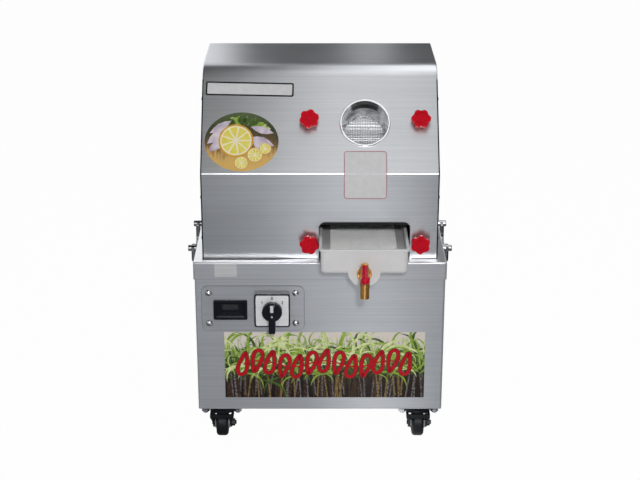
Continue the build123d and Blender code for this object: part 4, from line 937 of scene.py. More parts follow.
def lay_plate(
    name: str, levels: list[Level], mapper: Mapper, lift: Point, material: bpy.types.Material,
    body: str = ROOT,
) -> None:
    """Make a thin closed plate from levels of (v, left, right), listed from the bottom up, and settle it.

    Args:
        name: Name of the piece.
        levels: The plate's outline.
        mapper: Where the plate lies.
        lift: Heights of its back and its front above what carries it, in millimetres.
        material: Its finish.
        body: Body that it moves with.
    """
    count = len(levels)
    points = []
    for height in lift:
        for v, left, right in levels:
            points.append(mapper(left, v, height))
            points.append(mapper(right, v, height))
    faces = []
    front = 2 * count
    for step in range(count - 1):
        low = 2 * step
        faces.append((front + low, front + low + 1, front + low + 3, front + low + 2))
        faces.append((low, low + 2, low + 3, low + 1))
        faces.append((low, front + low, front + low + 2, low + 2))
        faces.append((low + 1, low + 3, front + low + 3, front + low + 1))
    last = 2 * count - 2
    faces.append((0, 1, front + 1, front))
    faces.append((last, front + last, front + last + 1, last + 1))
    settle(mesh_object(name, points, faces, material), body)


def ring_sheet(
    name: str, outer: list[Level], inner: list[Level], mapper: Mapper, lift: float,
    material: bpy.types.Material,
) -> bpy.types.Object:
    """Make a flat ring between two outlines with the same number of levels.

    Args:
        name: Name of the piece.
        outer: Outer outline.
        inner: Inner outline.
        mapper: Where the ring lies.
        lift: Its height above what carries it, in millimetres.
        material: Its finish.

    Returns:
        The object.
    """
    points = []
    for (v_out, left_out, right_out), (v_in, left_in, right_in) in zip(outer, inner):
        points.append(mapper(left_out, v_out, lift))
        points.append(mapper(left_in, v_in, lift))
        points.append(mapper(right_in, v_in, lift))
        points.append(mapper(right_out, v_out, lift))
    last = len(points) - 4
    faces = [(0, 3, 2, 1), (last + 1, last + 2, last + 3, last)]
    for low in range(0, last, 4):
        faces.append((low, low + 1, low + 5, low + 4))
        faces.append((low + 2, low + 3, low + 7, low + 6))
    return mesh_object(name, points, faces, material)


def rounded_levels(centre: Point, size: Point, corner: float, steps: int = 5) -> list[Level]:
    """Levels of a rectangle with round corners.

    Args:
        centre: Its centre.
        size: Its width and height.
        corner: Radius of its corners.
        steps: Steps along each corner.

    Returns:
        The levels from the bottom up.
    """
    u, v = centre
    width, height = size
    levels = []
    for step in range(steps + 1):
        turn = math.pi / 2 * step / steps
        half = width / 2 - corner + corner * math.sin(turn)
        levels.append((v - height / 2 + corner - corner * math.cos(turn), u - half, u + half))
    return levels + [(2 * v - level, left, right) for level, left, right in reversed(levels)]


def oval_levels(centre: Point, size: Point, steps: int = 32) -> list[Level]:
    """Levels of an ellipse.

    Args:
        centre: Its centre.
        size: Its width and height.
        steps: Number of bands.

    Returns:
        The levels from the bottom up.
    """
    levels = []
    for step in range(steps + 1):
        turn = math.pi * step / steps
        half = max(size[0] / 2 * math.sin(turn), 0.02)
        levels.append((centre[1] - size[1] / 2 * math.cos(turn), centre[0] - half, centre[0] + half))
    return levels


@dataclass
class FlatMesh:
    """Flat faces of one piece, gathered outline by outline.

    Attributes:
        points: Vertices so far.
        faces: Faces so far.
    """

    points: list[Vector] = field(default_factory=list)
    faces: list[tuple[int, ...]] = field(default_factory=list)

    def add(self, outline: Iterable[Vector]) -> None:
        """Add one face by its outline."""
        start = len(self.points)
        self.points.extend(outline)
        self.faces.append(tuple(range(start, len(self.points))))

    def settle(self, name: str, material: bpy.types.Material, slot: str) -> None:
        """Make the piece and fix it to the machine."""
        settle(mesh_object(name, self.points, self.faces, material), ROOT)


class NodeModifier:
    """Geometry Nodes tree with named inputs, ending in Realize Instances and Set Material."""

    def __init__(self, name: str, inputs: dict[str, float | int]) -> None:
        """Start the tree.

        Args:
            name: Name of the tree.
            inputs: Input names with their values; whole numbers get a whole-number socket.
        """
        self.tree = bpy.data.node_groups.new(name, "GeometryNodeTree")
        self.tree.interface.new_socket("Geometry", in_out="INPUT", socket_type="NodeSocketGeometry")
        self.values = {}
        for key, value in inputs.items():
            kind = "NodeSocketInt" if isinstance(value, int) else "NodeSocketFloat"
            socket = self.tree.interface.new_socket(key, in_out="INPUT", socket_type=kind)
            self.values[socket.identifier] = value
        self.tree.interface.new_socket("Geometry", in_out="OUTPUT", socket_type="NodeSocketGeometry")
        self.graph = Graph(self.tree)
        self.source = self.graph.add("NodeGroupInput")

    def value(self, name: str) -> bpy.types.NodeSocket:
        """Output socket of a named input."""
        return self.source.outputs[name]

    def close(self, geometry: bpy.types.NodeSocket, material: bpy.types.Material) -> None:
        """Realize the instances, set the material and end the tree."""
        real = self.graph.add("GeometryNodeRealizeInstances", Geometry=geometry)
        painted = self.graph.add("GeometryNodeSetMaterial", Geometry=real.outputs[0], Material=material)
        sink = self.graph.add("NodeGroupOutput")
        self.graph.feed(sink.inputs["Geometry"], painted.outputs[0])

    def place(self, instance: object, **inputs: object) -> bpy.types.NodeSocket:
        """Put an instance on each point of the carrier and return the instances."""
        points = self.value("Geometry")
        node = self.graph.add("GeometryNodeInstanceOnPoints", Points=points, Instance=instance, **inputs)
        return node.outputs[0]

    def bake(self, name: str, carrier: bpy.types.Object, material: bpy.types.Material) -> bpy.types.Object:
        """Evaluate the tree on a carrier object and keep a plain mesh.

        Args:
            name: Name of the piece.
            carrier: Object whose geometry feeds the tree; it is removed.
            material: Finish of the piece.

        Returns:
            The piece.
        """
        modifier = carrier.modifiers.new(self.tree.name, "NODES")
        modifier.node_group = self.tree
        for identifier, value in self.values.items():
            modifier[identifier] = value
        mesh = evaluated_mesh(carrier, material)
        mesh.name = name
        return add_object(name, mesh)


def point_cloud(name: str, points: Iterable[Vector]) -> bpy.types.Object:
    """Make a carrier object whose vertices are points for a Geometry Nodes tree."""
    mesh = bpy.data.meshes.new(name)
    mesh.from_pydata([tuple(point) for point in points], [], [])
    return add_object(name, mesh)


@dataclass
class Hood:
    """Folded hood with its side screws and its printed sheets.

    Attributes:
        finishes: The machine's finishes.
        side_x: Half of the hood's width.
        screw_radius: Radius of a screw's head.
        screw_height: How far a head stands proud.
        strip_centre: Centre of the bordered strip, as (x, up the slope).
        strip_size: Size of the strip.
        strip_tilt: How far the strip is turned, in degrees.
        strip_border: Width of its border.
        strip_corners: Radius of its corners and of its face's.
        oval_centre: Centre of the oval, as (x, up the slope).
        oval_size: Size of the oval.
        fold_sheet_centre: Centre of the sheet that is stuck over the fold.
        fold_sheet_size: Size of that sheet.
        fold_sheet_corner: Radius of its corners.
        fold_sheet_border: Width of its border.
        shade_strip_width: Width of the painted shade strip along each side edge of the front.
        shade_strip_up: Where those strips end, up the slope.
        foot_z: Height of the deck that the front stands on.
        foot_shade_width: How far the painted shade strip shows in front of the foot.
        foot_shade_taper: How far its left part ends from the gap, at the step in its taper and in front.
        foot_shade_end: Width of its right part, and of the left part behind that step.
        notch_shade_z: Lower and upper edges of the painted shade plate behind the gap.
        notch_shade_back: Where the plate's back lies behind the front's face.
        notch_shade_thickness: The plate's thickness.
        notch_x: Left and right ends of the gap that the tray slides through.
        front_screw_z: Heights of the screws on each side's front lip.
        rear_screw_z: Heights of the screws on its rear lip.
        lip_back: Where the front and the rear lip's screws lie.
        slope_screw: Where the screw on the sloping lip lies, as (up the slope, lift).
        top_screw: Where the screw on the upper lip lies, as (back, height).
        fold_steps: Distances up from the fold at which a sheet over it is bent.
    """

    finishes: Finishes
    side_x: float = 211.0
    screw_radius: float = 4.0
    screw_height: float = 1.6
    strip_centre: Point = (-125.6, 161.3)
    strip_size: Point = (157.5, 26.8)
    strip_tilt: float = -1.24
    strip_border: float = 3.0
    strip_corners: Point = (3.2, 1.2)
    oval_centre: Point = (-138.8, 60.7)
    oval_size: Point = (131.0, 111.4)
    fold_sheet_centre: Point = (80.1, -1.7)
    fold_sheet_size: Point = (76.3, 89.6)
    fold_sheet_corner: float = 6.0
    fold_sheet_border: float = 1.8
    shade_strip_width: float = 2.3
    shade_strip_up: float = 180.0
    foot_z: float = 360.0
    foot_shade_width: float = 7.0
    foot_shade_taper: Point = (40.0, 80.0)
    foot_shade_end: float = 2.0
    notch_shade_z: Point = (424.2, 441.0)
    notch_shade_back: float = 2.4
    notch_shade_thickness: float = 1.1
    notch_x: Point = (-4.0, 164.0)
    front_screw_z: Point = (397.0, 474.0)
    rear_screw_z: Level = (397.0, 520.0, 640.0)
    lip_back: Point = (28.5, 319.5)
    slope_screw: Point = (146.0, -8.5)
    top_screw: Point = (300.0, 674.5)
    fold_steps: tuple[float, ...] = (-5.0, -3.0, -1.0, 1.0, 3.0, 5.0)

    def build(self) -> None:
        """Build and dress the whole hood."""
        self.dress_sheets()
        self.side_screws()
        self.edge_shade_strips()
        self.foot_shade_strip()
        self.notch_shade()
        self.bordered_strip()
        self.oval_sheet()
        self.fold_sheet()

    def dress_sheets(self) -> None:
        """Dress the CAD sheets."""
        sheets = [f"hood_{name}" for name in ("front", "slope", "top", "back", "sides")]
        dress(self.finishes.hood, *sheets, "bagasse_chute")

    def side_screws(self) -> None:
        """Domed screws along the lips on both sides, with Geometry Nodes."""
        front, rear = self.lip_back
        places = []
        for x in (-self.side_x, self.side_x):
            places += [at(x, front, z) for z in self.front_screw_z]
            places += [at(x, rear, z) for z in self.rear_screw_z]
            places.append(on_slope(x, *self.slope_screw))
            places.append(at(x, *self.top_screw))
        tree = NodeModifier(
            "Side Screws",
            {"Head Radius": self.screw_radius * MM, "Head Height": self.screw_height * MM},
        )
        graph = tree.graph
        dome = graph.add("GeometryNodeMeshUVSphere", Segments=16, Rings=8, Radius=1.0)
        radius = tree.value("Head Radius")
        size = graph.xyz(X=tree.value("Head Height"), Y=radius, Z=radius)
        shaped = graph.add("GeometryNodeTransform", Geometry=dome.outputs["Mesh"], Scale=size)
        smooth = graph.add("GeometryNodeSetShadeSmooth", Geometry=shaped.outputs[0])
        tree.close(tree.place(smooth.outputs[0]), self.finishes.chrome)
        piece = tree.bake("hood_side_screws", point_cloud("screw_places", places), self.finishes.chrome)
        settle(piece, ROOT)

    def edge_shade_strips(self) -> None:
        """Painted shade: dark strips along the front's side edges, standing in for the shadow gap where the
        front sheets meet the sides.
        """
        heights = (self.foot_z + 0.5 - FOLD_Z, *self.fold_steps, self.shade_strip_up)
        inner = self.side_x - self.shade_strip_width
        for name, left, right in (("left", -self.side_x, -inner), ("right", inner, self.side_x)):
            levels = [(v, left, right) for v in heights]
            lay_plate(
                f"hood_edge_shade_{name}", levels, over_fold, SHADE_STRIP_LIFT, self.finishes.black
            )

    def foot_shade_strip(self) -> None:
        """Painted shade: a black strip on the deck in front of the hood's foot, tapered beside the gap,
        standing in for the shade along the foot.
        """
        deep, side = self.foot_shade_width, self.side_x
        step = deep - self.foot_shade_end
        left, right = self.notch_x
        near, far = [left - taper for taper in self.foot_shade_taper]
        plan = {
            "left": [(0.0, -side, far), (step, -side, near), (deep, -side, left)],
            "right": [(step, right, side), (deep, right, side)],
        }
        for name, levels in plan.items():
            lay_plate(
                f"hood_foot_shade_{name}", levels, self.on_deck, (0.02, 0.5), self.finishes.black
            )

    def on_deck(self, u: float, v: float, lift: float) -> Vector:
        """Map (x, distance behind the front edge of the foot's shade strip, lift) onto the deck."""
        return at(u, FOLD_BACK - self.foot_shade_width + v, self.foot_z + lift)

    def notch_shade(self) -> None:
        """Painted shade: a dark plate on the inside of the front, over the upper edge of the gap for the
        tray, standing in for the shade inside the hood there.
        """
        levels = [(z, *self.notch_x) for z in self.notch_shade_z]
        face = on_front(FOLD_BACK + self.notch_shade_back)
        lift = (0.0, self.notch_shade_thickness)
        lay_plate("hood_notch_shade", levels, face, lift, self.finishes.black)

    def bordered_strip(self) -> None:
        """Blank white strip with a black border."""
        width, height = [side - 2 * self.strip_border for side in self.strip_size]
        place = tilted(on_slope, self.strip_centre, self.strip_tilt)
        outer, inner = self.strip_corners
        border = rounded_levels(self.strip_centre, self.strip_size, outer)
        lay_plate("strip_border", border, place, SHEET_LIFT, self.finishes.black_ink)
        face = rounded_levels(self.strip_centre, (width, height), inner)
        lay_plate("strip_face", face, place, FACE_LIFT, self.finishes.white_ink)

    def oval_sheet(self) -> None:
        """Oval picture sheet: fruit slices on a board, with petals and a spray of leaves."""
        u, v = self.oval_centre
        outline = oval_levels(self.oval_centre, self.oval_size)
        lay_plate("oval_ground", outline, on_slope, SHEET_LIFT, self.finishes.oval_ground)
        self.leaf_spray()
        self.petals()
        slices = ((-10.0, 2.0, 31.0), (24.0, -25.0, 14.0), (42.0, -13.0, 11.0), (0.0, -40.0, 12.5))
        for number, (du, dv, radius) in enumerate(slices):
            self.fruit_slice(number, (u + du, v + dv), radius, 0.32 + 0.12 * number)

    def petals(self) -> None:
        """Broad pale petals on both sides of the largest slice."""
        u, v = self.oval_centre
        plan = (
            ((-61, -4), (-24, 28), 9.0), ((-57, 16), (-18, 40), 7.0), ((-58, -18), (-30, 4), 8.0),
            ((14, 8), (58, -8), 9.0), ((16, 28), (57, 16), 7.0), ((20, -2), (46, -20), 6.0),
        )
        sheet = FlatMesh()
        for number, (root, tip, half) in enumerate(plan):
            ends = [(u + across, v + up) for across, up in (root, tip)]
            sheet.add(self.leaf(*ends, half, 0.27 + 0.004 * number))
        sheet.settle("oval_petals", self.finishes.lavender, "tray_white")

    def fruit_slice(self, number: int, centre: Point, radius: float, lift: float) -> None:
        """One slice: skin, pith and a ring of segments.

        Args:
            number: Which slice.
            centre: Its centre on the slope.
            radius: Its radius.
            lift: How far it lies above the panel.
        """
        layers = (("skin", 1.0, self.finishes.fruit_skin), ("pith", 0.90, self.finishes.fruit_pith))
        for step, (part, share, ink) in enumerate(layers):
            levels = oval_levels(centre, (2 * radius * share, 2 * radius * share), 20)
            height = (lift + 0.04 * step, lift + 0.04 * step + 0.04)
            lay_plate(f"slice_{part}_{number}", levels, on_slope, height, ink)
        flesh = FlatMesh()
        segments, filled, core, rind = 9, 0.84, 0.12, 0.82
        for segment in range(segments):
            middle = 2 * math.pi * (segment + 0.5) / segments
            half = math.pi / segments * filled
            rim = [middle + half * share for share in (-1, -0.5, 0, 0.5, 1)]
            outline = [(radius * core, middle)] + [(radius * rind, turn) for turn in rim]
            flesh.add(
                on_slope(centre[0] + reach * math.cos(turn), centre[1] + reach * math.sin(turn), lift + 0.10)
                for reach, turn in outline
            )
        flesh.settle(f"slice_flesh_{number}", self.finishes.fruit_flesh, "tray_white")

    def leaf_spray(self) -> None:
        """Leaves along the upper rim of the oval, in three greens."""
        picker = random.Random(7)
        u, v = self.oval_centre
        leaves, rise = 9, 18
        root_reach, tip_reach = (26, 14), (60, 49)
        for tone, ink in enumerate(self.finishes.greens):
            spray = FlatMesh()
            for _ in range(leaves):
                turn = math.radians(picker.uniform(25, 155))
                root = (u + root_reach[0] * math.cos(turn), v + rise + root_reach[1] * math.sin(turn))
                tip = (u + tip_reach[0] * math.cos(turn), v + tip_reach[1] * math.sin(turn))
                spray.add(self.leaf(root, tip, picker.uniform(3.0, 5.0), 0.22 + 0.02 * tone))
            spray.settle(f"oval_leaves_{tone}", ink, "tray_white")

    def leaf(self, root: Point, tip: Point, half: float, lift: float) -> list[Vector]:
        """Outline of one pointed leaf on the slope.

        Args:
            root: Where the leaf starts.
            tip: Where it ends.
            half: Half of its width.
            lift: How far it lies above the panel.

        Returns:
            The outline's points.
        """
        along = Vector((tip[0] - root[0], tip[1] - root[1]))
        normal = Vector((-along.y, along.x)).normalized()
        shares = (0.0, 0.25, 0.5, 0.75, 1.0)
        lower = [(share, -math.sin(math.pi * share) * half) for share in shares]
        upper = [(share, math.sin(math.pi * share) * half) for share in reversed(shares[1:-1])]
        outline = []
        for share, offset in lower + upper:
            u = root[0] + along.x * share + normal.x * offset
            v = root[1] + along.y * share + normal.y * offset
            outline.append(on_slope(u, v, lift))
        return outline

    def fold_sheet(self) -> None:
        """Blank rounded sheet stuck over the fold, with a thin border."""
        width, height = self.fold_sheet_size
        for name, inset, lift, ink in (
            ("fold_sheet_border", 0.0, SHEET_LIFT, self.finishes.pink_ink),
            ("fold_sheet_face", self.fold_sheet_border, FACE_LIFT, self.finishes.white_ink),
        ):
            size = (width - 2 * inset, height - 2 * inset)
            levels = rounded_levels(self.fold_sheet_centre, size, self.fold_sheet_corner - inset)
            below = [level for level in levels if level[0] < self.fold_steps[0]]
            above = [level for level in levels if level[0] > self.fold_steps[-1]]
            middle = [(v, *below[-1][1:]) for v in self.fold_steps]
            lay_plate(name, below + middle + above, over_fold, lift, ink)


@dataclass
class Cabinet:
    """Cabinet, deck and the wide printed banner.

    Attributes:
        finishes: The machine's finishes.
        banner_x: Left and right edges of the banner.
        banner_z: Lower and upper edges of the banner.
        face_back: Where the cabinet's front face lies.
        seam_z: Height of the skirt's lower edge.
        shade_strip_width: Width of the painted shadow gap under it.
        seam_half: Half of the gap's length.
        label_centre: Centre of the skirt's label.
        label_size: Size of the label.
        wave_z: Middle height of the garland.
        wave_height: How far the garland rises and falls.
        wave_inset: How far it ends from the banner's sides.
        half_waves: Number of its rises and falls.
        drop_count: Number of drops on it.
        drop_size: Height and width of a drop.
        drop_lines: Width of a drop's dark edge and of the red line over it.
        blade_size: Length and width of a leaf blade.
        blade_margins: How far each layer's blades start from the banner's lower and upper edges.
        stalk_size: Height and width of a stalk.
    """

    finishes: Finishes
    banner_x: Point = (-174.5, 191.5)
    banner_z: Point = (91.3, 223.3)
    face_back: float = CABINET_BACK
    seam_z: float = 326.8
    shade_strip_width: float = 1.1
    seam_half: float = 224.0
    label_centre: Point = (-168.7, 345.0)
    label_size: Point = (40.0, 24.5)
    wave_z: float = 160.0
    wave_height: float = 6.0
    wave_inset: float = 34.0
    half_waves: int = 5
    drop_count: int = 13
    drop_size: Point = (22.0, 11.5)
    drop_lines: Point = (8.4, 6.2)
    blade_size: Point = (72.0, 4.6)
    blade_margins: tuple[Point, ...] = ((34.0, 50.0), (44.0, 36.0), (55.0, 30.0))
    stalk_size: Point = (62.0, 3.2)

    def build(self) -> None:
        """Build and dress the cabinet."""
        dress(self.finishes.cabinet, "cabinet_shell", "cabinet_floor", "cabinet_back_panel")
        dress(self.finishes.deck, "deck_pan")
        dress(self.finishes.black, "batteries", "charging_socket")
        self.skirt_label()
        self.skirt_shade_strip()
        self.banner()

    def skirt_label(self) -> None:
        """Small blank silver label on the skirt."""
        levels = rounded_levels(self.label_centre, self.label_size, 1.5)
        lay_plate("skirt_label", levels, on_front(0.0), SHEET_LIFT, self.finishes.label)

    def skirt_shade_strip(self) -> None:
        """Painted shade: a narrow grey strip on the cabinet's face under the skirt's lower edge, standing in
        for its shadow gap.
        """
        heights = (self.seam_z - self.shade_strip_width, self.seam_z)
        levels = [(z, -self.seam_half, self.seam_half) for z in heights]
        face = on_front(self.face_back)
        lay_plate("skirt_shade_strip", levels, face, SHADE_STRIP_LIFT, self.finishes.shade_ink)

    def banner(self) -> None:
        """Printed cane field with blades, stalks and a garland of drops."""
        (left, right), (low, high) = self.banner_x, self.banner_z
        ground = rounded_levels(((left + right) / 2, (low + high) / 2), (right - left, high - low), 0.6)
        face = on_front(self.face_back)
        lay_plate("banner_ground", ground, face, SHEET_LIFT, self.finishes.field)
        for number, (ink, count) in enumerate(zip(self.finishes.stalks, (90, 34, 18))):
            self.stalks(number, ink, count, 0.22 + 0.02 * number)
        for number, (ink, count) in enumerate(zip(reversed(self.finishes.greens), (90, 130, 80))):
            self.blades(number, ink, count, 0.30 + 0.05 * number)
        self.vine()
        for number, ink in enumerate((self.finishes.edge_ink, self.finishes.red_ink)):
            self.drops(number, ink)

    def scatter(
        self, name: str, count: int, seed: int, low: float, high: float, lift: float
    ) -> bpy.types.Object:
        """Carrier with points spread over the banner.

        Args:
            name: Name of the carrier.
            count: Number of points.
            seed: Seed of the spread.
            low: Lowest height.
            high: Highest height.
            lift: How far the points lie above the cabinet's face.

        Returns:
            The carrier object.
        """
        picker = random.Random(seed)
        places = []
        for step in range(count):
            x = picker.uniform(*self.banner_x)
            places.append(at(x, self.face_back - lift - 0.04 * step / count, picker.uniform(low, high)))
        return point_cloud(name, places)

    def print_layer(
        self, tree: NodeModifier, name: str, instances: bpy.types.NodeSocket, carrier: bpy.types.Object,
        ink: bpy.types.Material,
    ) -> None:
        """Press a layer's instances back onto the banner, face them to the front, and settle the piece.

        Args:
            tree: The layer's tree.
            name: Name of the piece.
            instances: What the tree has placed.
            carrier: Object with the points.
            ink: The layer's colour.
        """
        graph = tree.graph
        real = graph.add("GeometryNodeRealizeInstances", Geometry=instances)
        low, high = [at(x, back, z) for x, back, z in zip(self.banner_x, (-50, 50), self.banner_z)]
        place = graph.add("GeometryNodeInputPosition").outputs[0]
        raised = graph.vectors("MAXIMUM", place, low).outputs[0]
        lowered = graph.vectors("MINIMUM", raised, high).outputs[0]
        pressed = graph.add("GeometryNodeSetPosition", Geometry=real.outputs[0], Position=lowered)
        behind = graph.above(graph.split(graph.add("GeometryNodeInputNormal").outputs[0])[1], 0.0)
        faced = graph.add("GeometryNodeFlipFaces", Mesh=pressed.outputs[0], Selection=behind)
        tree.close(faced.outputs[0], ink)
        settle(tree.bake(name, carrier, ink), ROOT)

    def blades(self, number: int, ink: bpy.types.Material, count: int, lift: float) -> None:
        """Arching leaf blades, with Geometry Nodes.

        Args:
            number: Which layer.
            ink: Its colour.
            count: Number of blades.
            lift: How far the layer lies above the cabinet's face.
        """
        reach, breadth = self.blade_size
        tree = NodeModifier(
            f"Banner Blades {number}",
            {"Blade Length": reach * MM, "Blade Width": breadth * MM, "Seed": 11 + number},
        )
        graph = tree.graph
        length, seed = tree.value("Blade Length"), tree.value("Seed")
        near, rise, far, tip = [graph.times(length, share) for share in (0.34, 0.62, 0.78, 0.34)]
        arc = graph.add(
            "GeometryNodeCurveQuadraticBezier", Resolution=9, Start=(0.0, 0.0, 0.0),
            Middle=graph.xyz(X=near, Z=rise), End=graph.xyz(X=far, Z=tip),
        )
        along = graph.add("GeometryNodeSplineParameter").outputs["Factor"]
        taper = graph.math("SINE", graph.times(graph.plus(along, 0.12), 2.7))
        width = graph.times(graph.math("MAXIMUM", taper, 0.04), tree.value("Blade Width"))
        blade = graph.sweep(arc.outputs[0], graph.line((0.0, -0.5, 0.0), (0.0, 0.5, 0.0)), width)
        turn = graph.random(seed, -1.2, 1.2)
        size = graph.random(graph.plus(seed, 90.0), 0.35, 1.15)
        placed = tree.place(blade, Rotation=graph.xyz(Y=turn), Scale=size)
        around = graph.times(graph.above(graph.random(graph.plus(seed, 50.0)), 0.5), math.pi)
        turned = graph.add("GeometryNodeRotateInstances", Instances=placed, Rotation=graph.xyz(Z=around))
        below, over = self.blade_margins[number]
        low, high = self.banner_z[0] + below, self.banner_z[1] - over
        carrier = self.scatter(f"blade_places_{number}", count, 31 + number, low, high, lift)
        self.print_layer(tree, f"banner_blades_{number}", turned.outputs[0], carrier, ink)

    def stalks(self, number: int, ink: bpy.types.Material, count: int, lift: float) -> None:
        """Upright cane stalks with a step at each joint, with Geometry Nodes.

        Args:
            number: Which layer.
            ink: Its colour.
            count: Number of stalks.
            lift: How far the layer lies above the cabinet's face.
        """
        height, breadth = self.stalk_size
        tree = NodeModifier(
            f"Banner Stalks {number}",
            {"Stalk Height": height * MM, "Stalk Width": breadth * MM, "Seed": 5 + number},
        )
        graph = tree.graph
        line = graph.line((0.0, 0.0, 0.0), graph.xyz(Z=tree.value("Stalk Height")))
        jointed = graph.add("GeometryNodeResampleCurve", Curve=line, Count=22)
        index = graph.add("GeometryNodeInputIndex").outputs[0]
        swollen = graph.math("LESS_THAN", graph.math("MODULO", index, 5.0), 0.5)
        waist = graph.times(graph.plus(graph.times(swollen, 0.35), 0.8), tree.value("Stalk Width"))
        stalk = graph.sweep(jointed.outputs[0], graph.line(*CROSS_LINE), waist)
        lean = graph.random(tree.value("Seed"), -0.16, 0.16)
        placed = tree.place(stalk, Rotation=graph.xyz(Y=lean))
        low = self.banner_z[0]
        carrier = self.scatter(f"stalk_places_{number}", count, 71 + number, low - 14, low + 6, lift)
        self.print_layer(tree, f"banner_stalks_{number}", placed, carrier, ink)

    def wave(self, share: float) -> Point:
        """Place (x, z) along the garland's wave, by the share of its length."""
        left, right = self.banner_x[0] + self.wave_inset, self.banner_x[1] - self.wave_inset
        rise = math.sin(share * self.half_waves * math.pi)
        return left + (right - left) * share, self.wave_z + self.wave_height * rise

    def vine(self) -> None:
        """Thin wavy stem that the drops hang on."""
        steps = 100
        back = self.face_back - 0.48
        waves = [self.wave(step / steps) for step in range(steps + 1)]
        points = [at(x, back, z + half) for x, z in waves for half in (-1.4, 1.4)]
        faces = [(low, low + 2, low + 3, low + 1) for low in range(0, 2 * steps, 2)]
        settle(mesh_object("banner_vine", points, faces, self.finishes.red_ink), ROOT)

    def drops(self, number: int, ink: bpy.types.Material) -> None:
        """Open drops along the vine, pointing up and down in turn, with Geometry Nodes.

        Args:
            number: Zero for the dark edge and one for the red line over it.
            ink: Its colour.
        """
        height, breadth = self.drop_size
        stroke = self.drop_lines[number]
        tree = NodeModifier(
            f"Banner Drops {number}",
            {"Drop Height": height * MM, "Drop Width": breadth * MM, "Line Width": stroke * MM},
        )
        graph = tree.graph
        ring = graph.add("GeometryNodeCurvePrimitiveCircle", Resolution=28, Radius=1.0)
        spot = graph.split(graph.add("GeometryNodeInputPosition").outputs[0])
        narrowing = graph.math("SUBTRACT", 0.66, graph.times(spot[1], 0.34))
        across = graph.times(graph.times(spot[0], narrowing), tree.value("Drop Width"))
        shape = graph.xyz(X=across, Y=graph.times(spot[1], tree.value("Drop Height")))
        drop = graph.add("GeometryNodeSetPosition", Geometry=ring.outputs[0], Position=shape)
        line = graph.sweep(drop.outputs[0], graph.line(*CROSS_LINE), tree.value("Line Width"))
        standing = graph.add("GeometryNodeTransform", Geometry=line, Rotation=(math.pi / 2, 0.0, 0.0))
        odd = graph.math("MODULO", graph.add("GeometryNodeInputIndex").outputs[0], 2.0)
        turn = graph.plus(graph.times(odd, math.pi), 0.22)
        placed = tree.place(standing.outputs[0], Rotation=graph.xyz(Y=turn))
        back = self.face_back - 0.52 - 0.14 * number
        waves = [self.wave(step / (self.drop_count - 1)) for step in range(self.drop_count)]
        carrier = point_cloud(f"drop_places_{number}", [at(x, back, z) for x, z in waves])
        self.print_layer(tree, f"banner_drops_{number}", placed, carrier, ink)


@dataclass
class Mill:
    """Roller mill, its gears and its drive.

    Attributes:
        finishes: The machine's finishes.
    """

    finishes: Finishes

    def build(self) -> None:
        """Dress the mill."""
        dress(self.finishes.port, "feed_funnel")
        dress(self.finishes.bright, "turn_plate")
        dress(self.finishes.roller, "top_roller", "front_roller", "rear_roller")
        dress(self.finishes.mill, "mill_plates", "mill_spacers", "motor_plate")
        dress(self.finishes.zinc, "top_gear", "front_gear", "rear_gear", "drive_pinion", "knob_studs")
        dress(self.finishes.bronze, "roller_bushes")
        dress(self.finishes.alloy, "gearbox")
        dress(self.finishes.motor_paint, "motor")


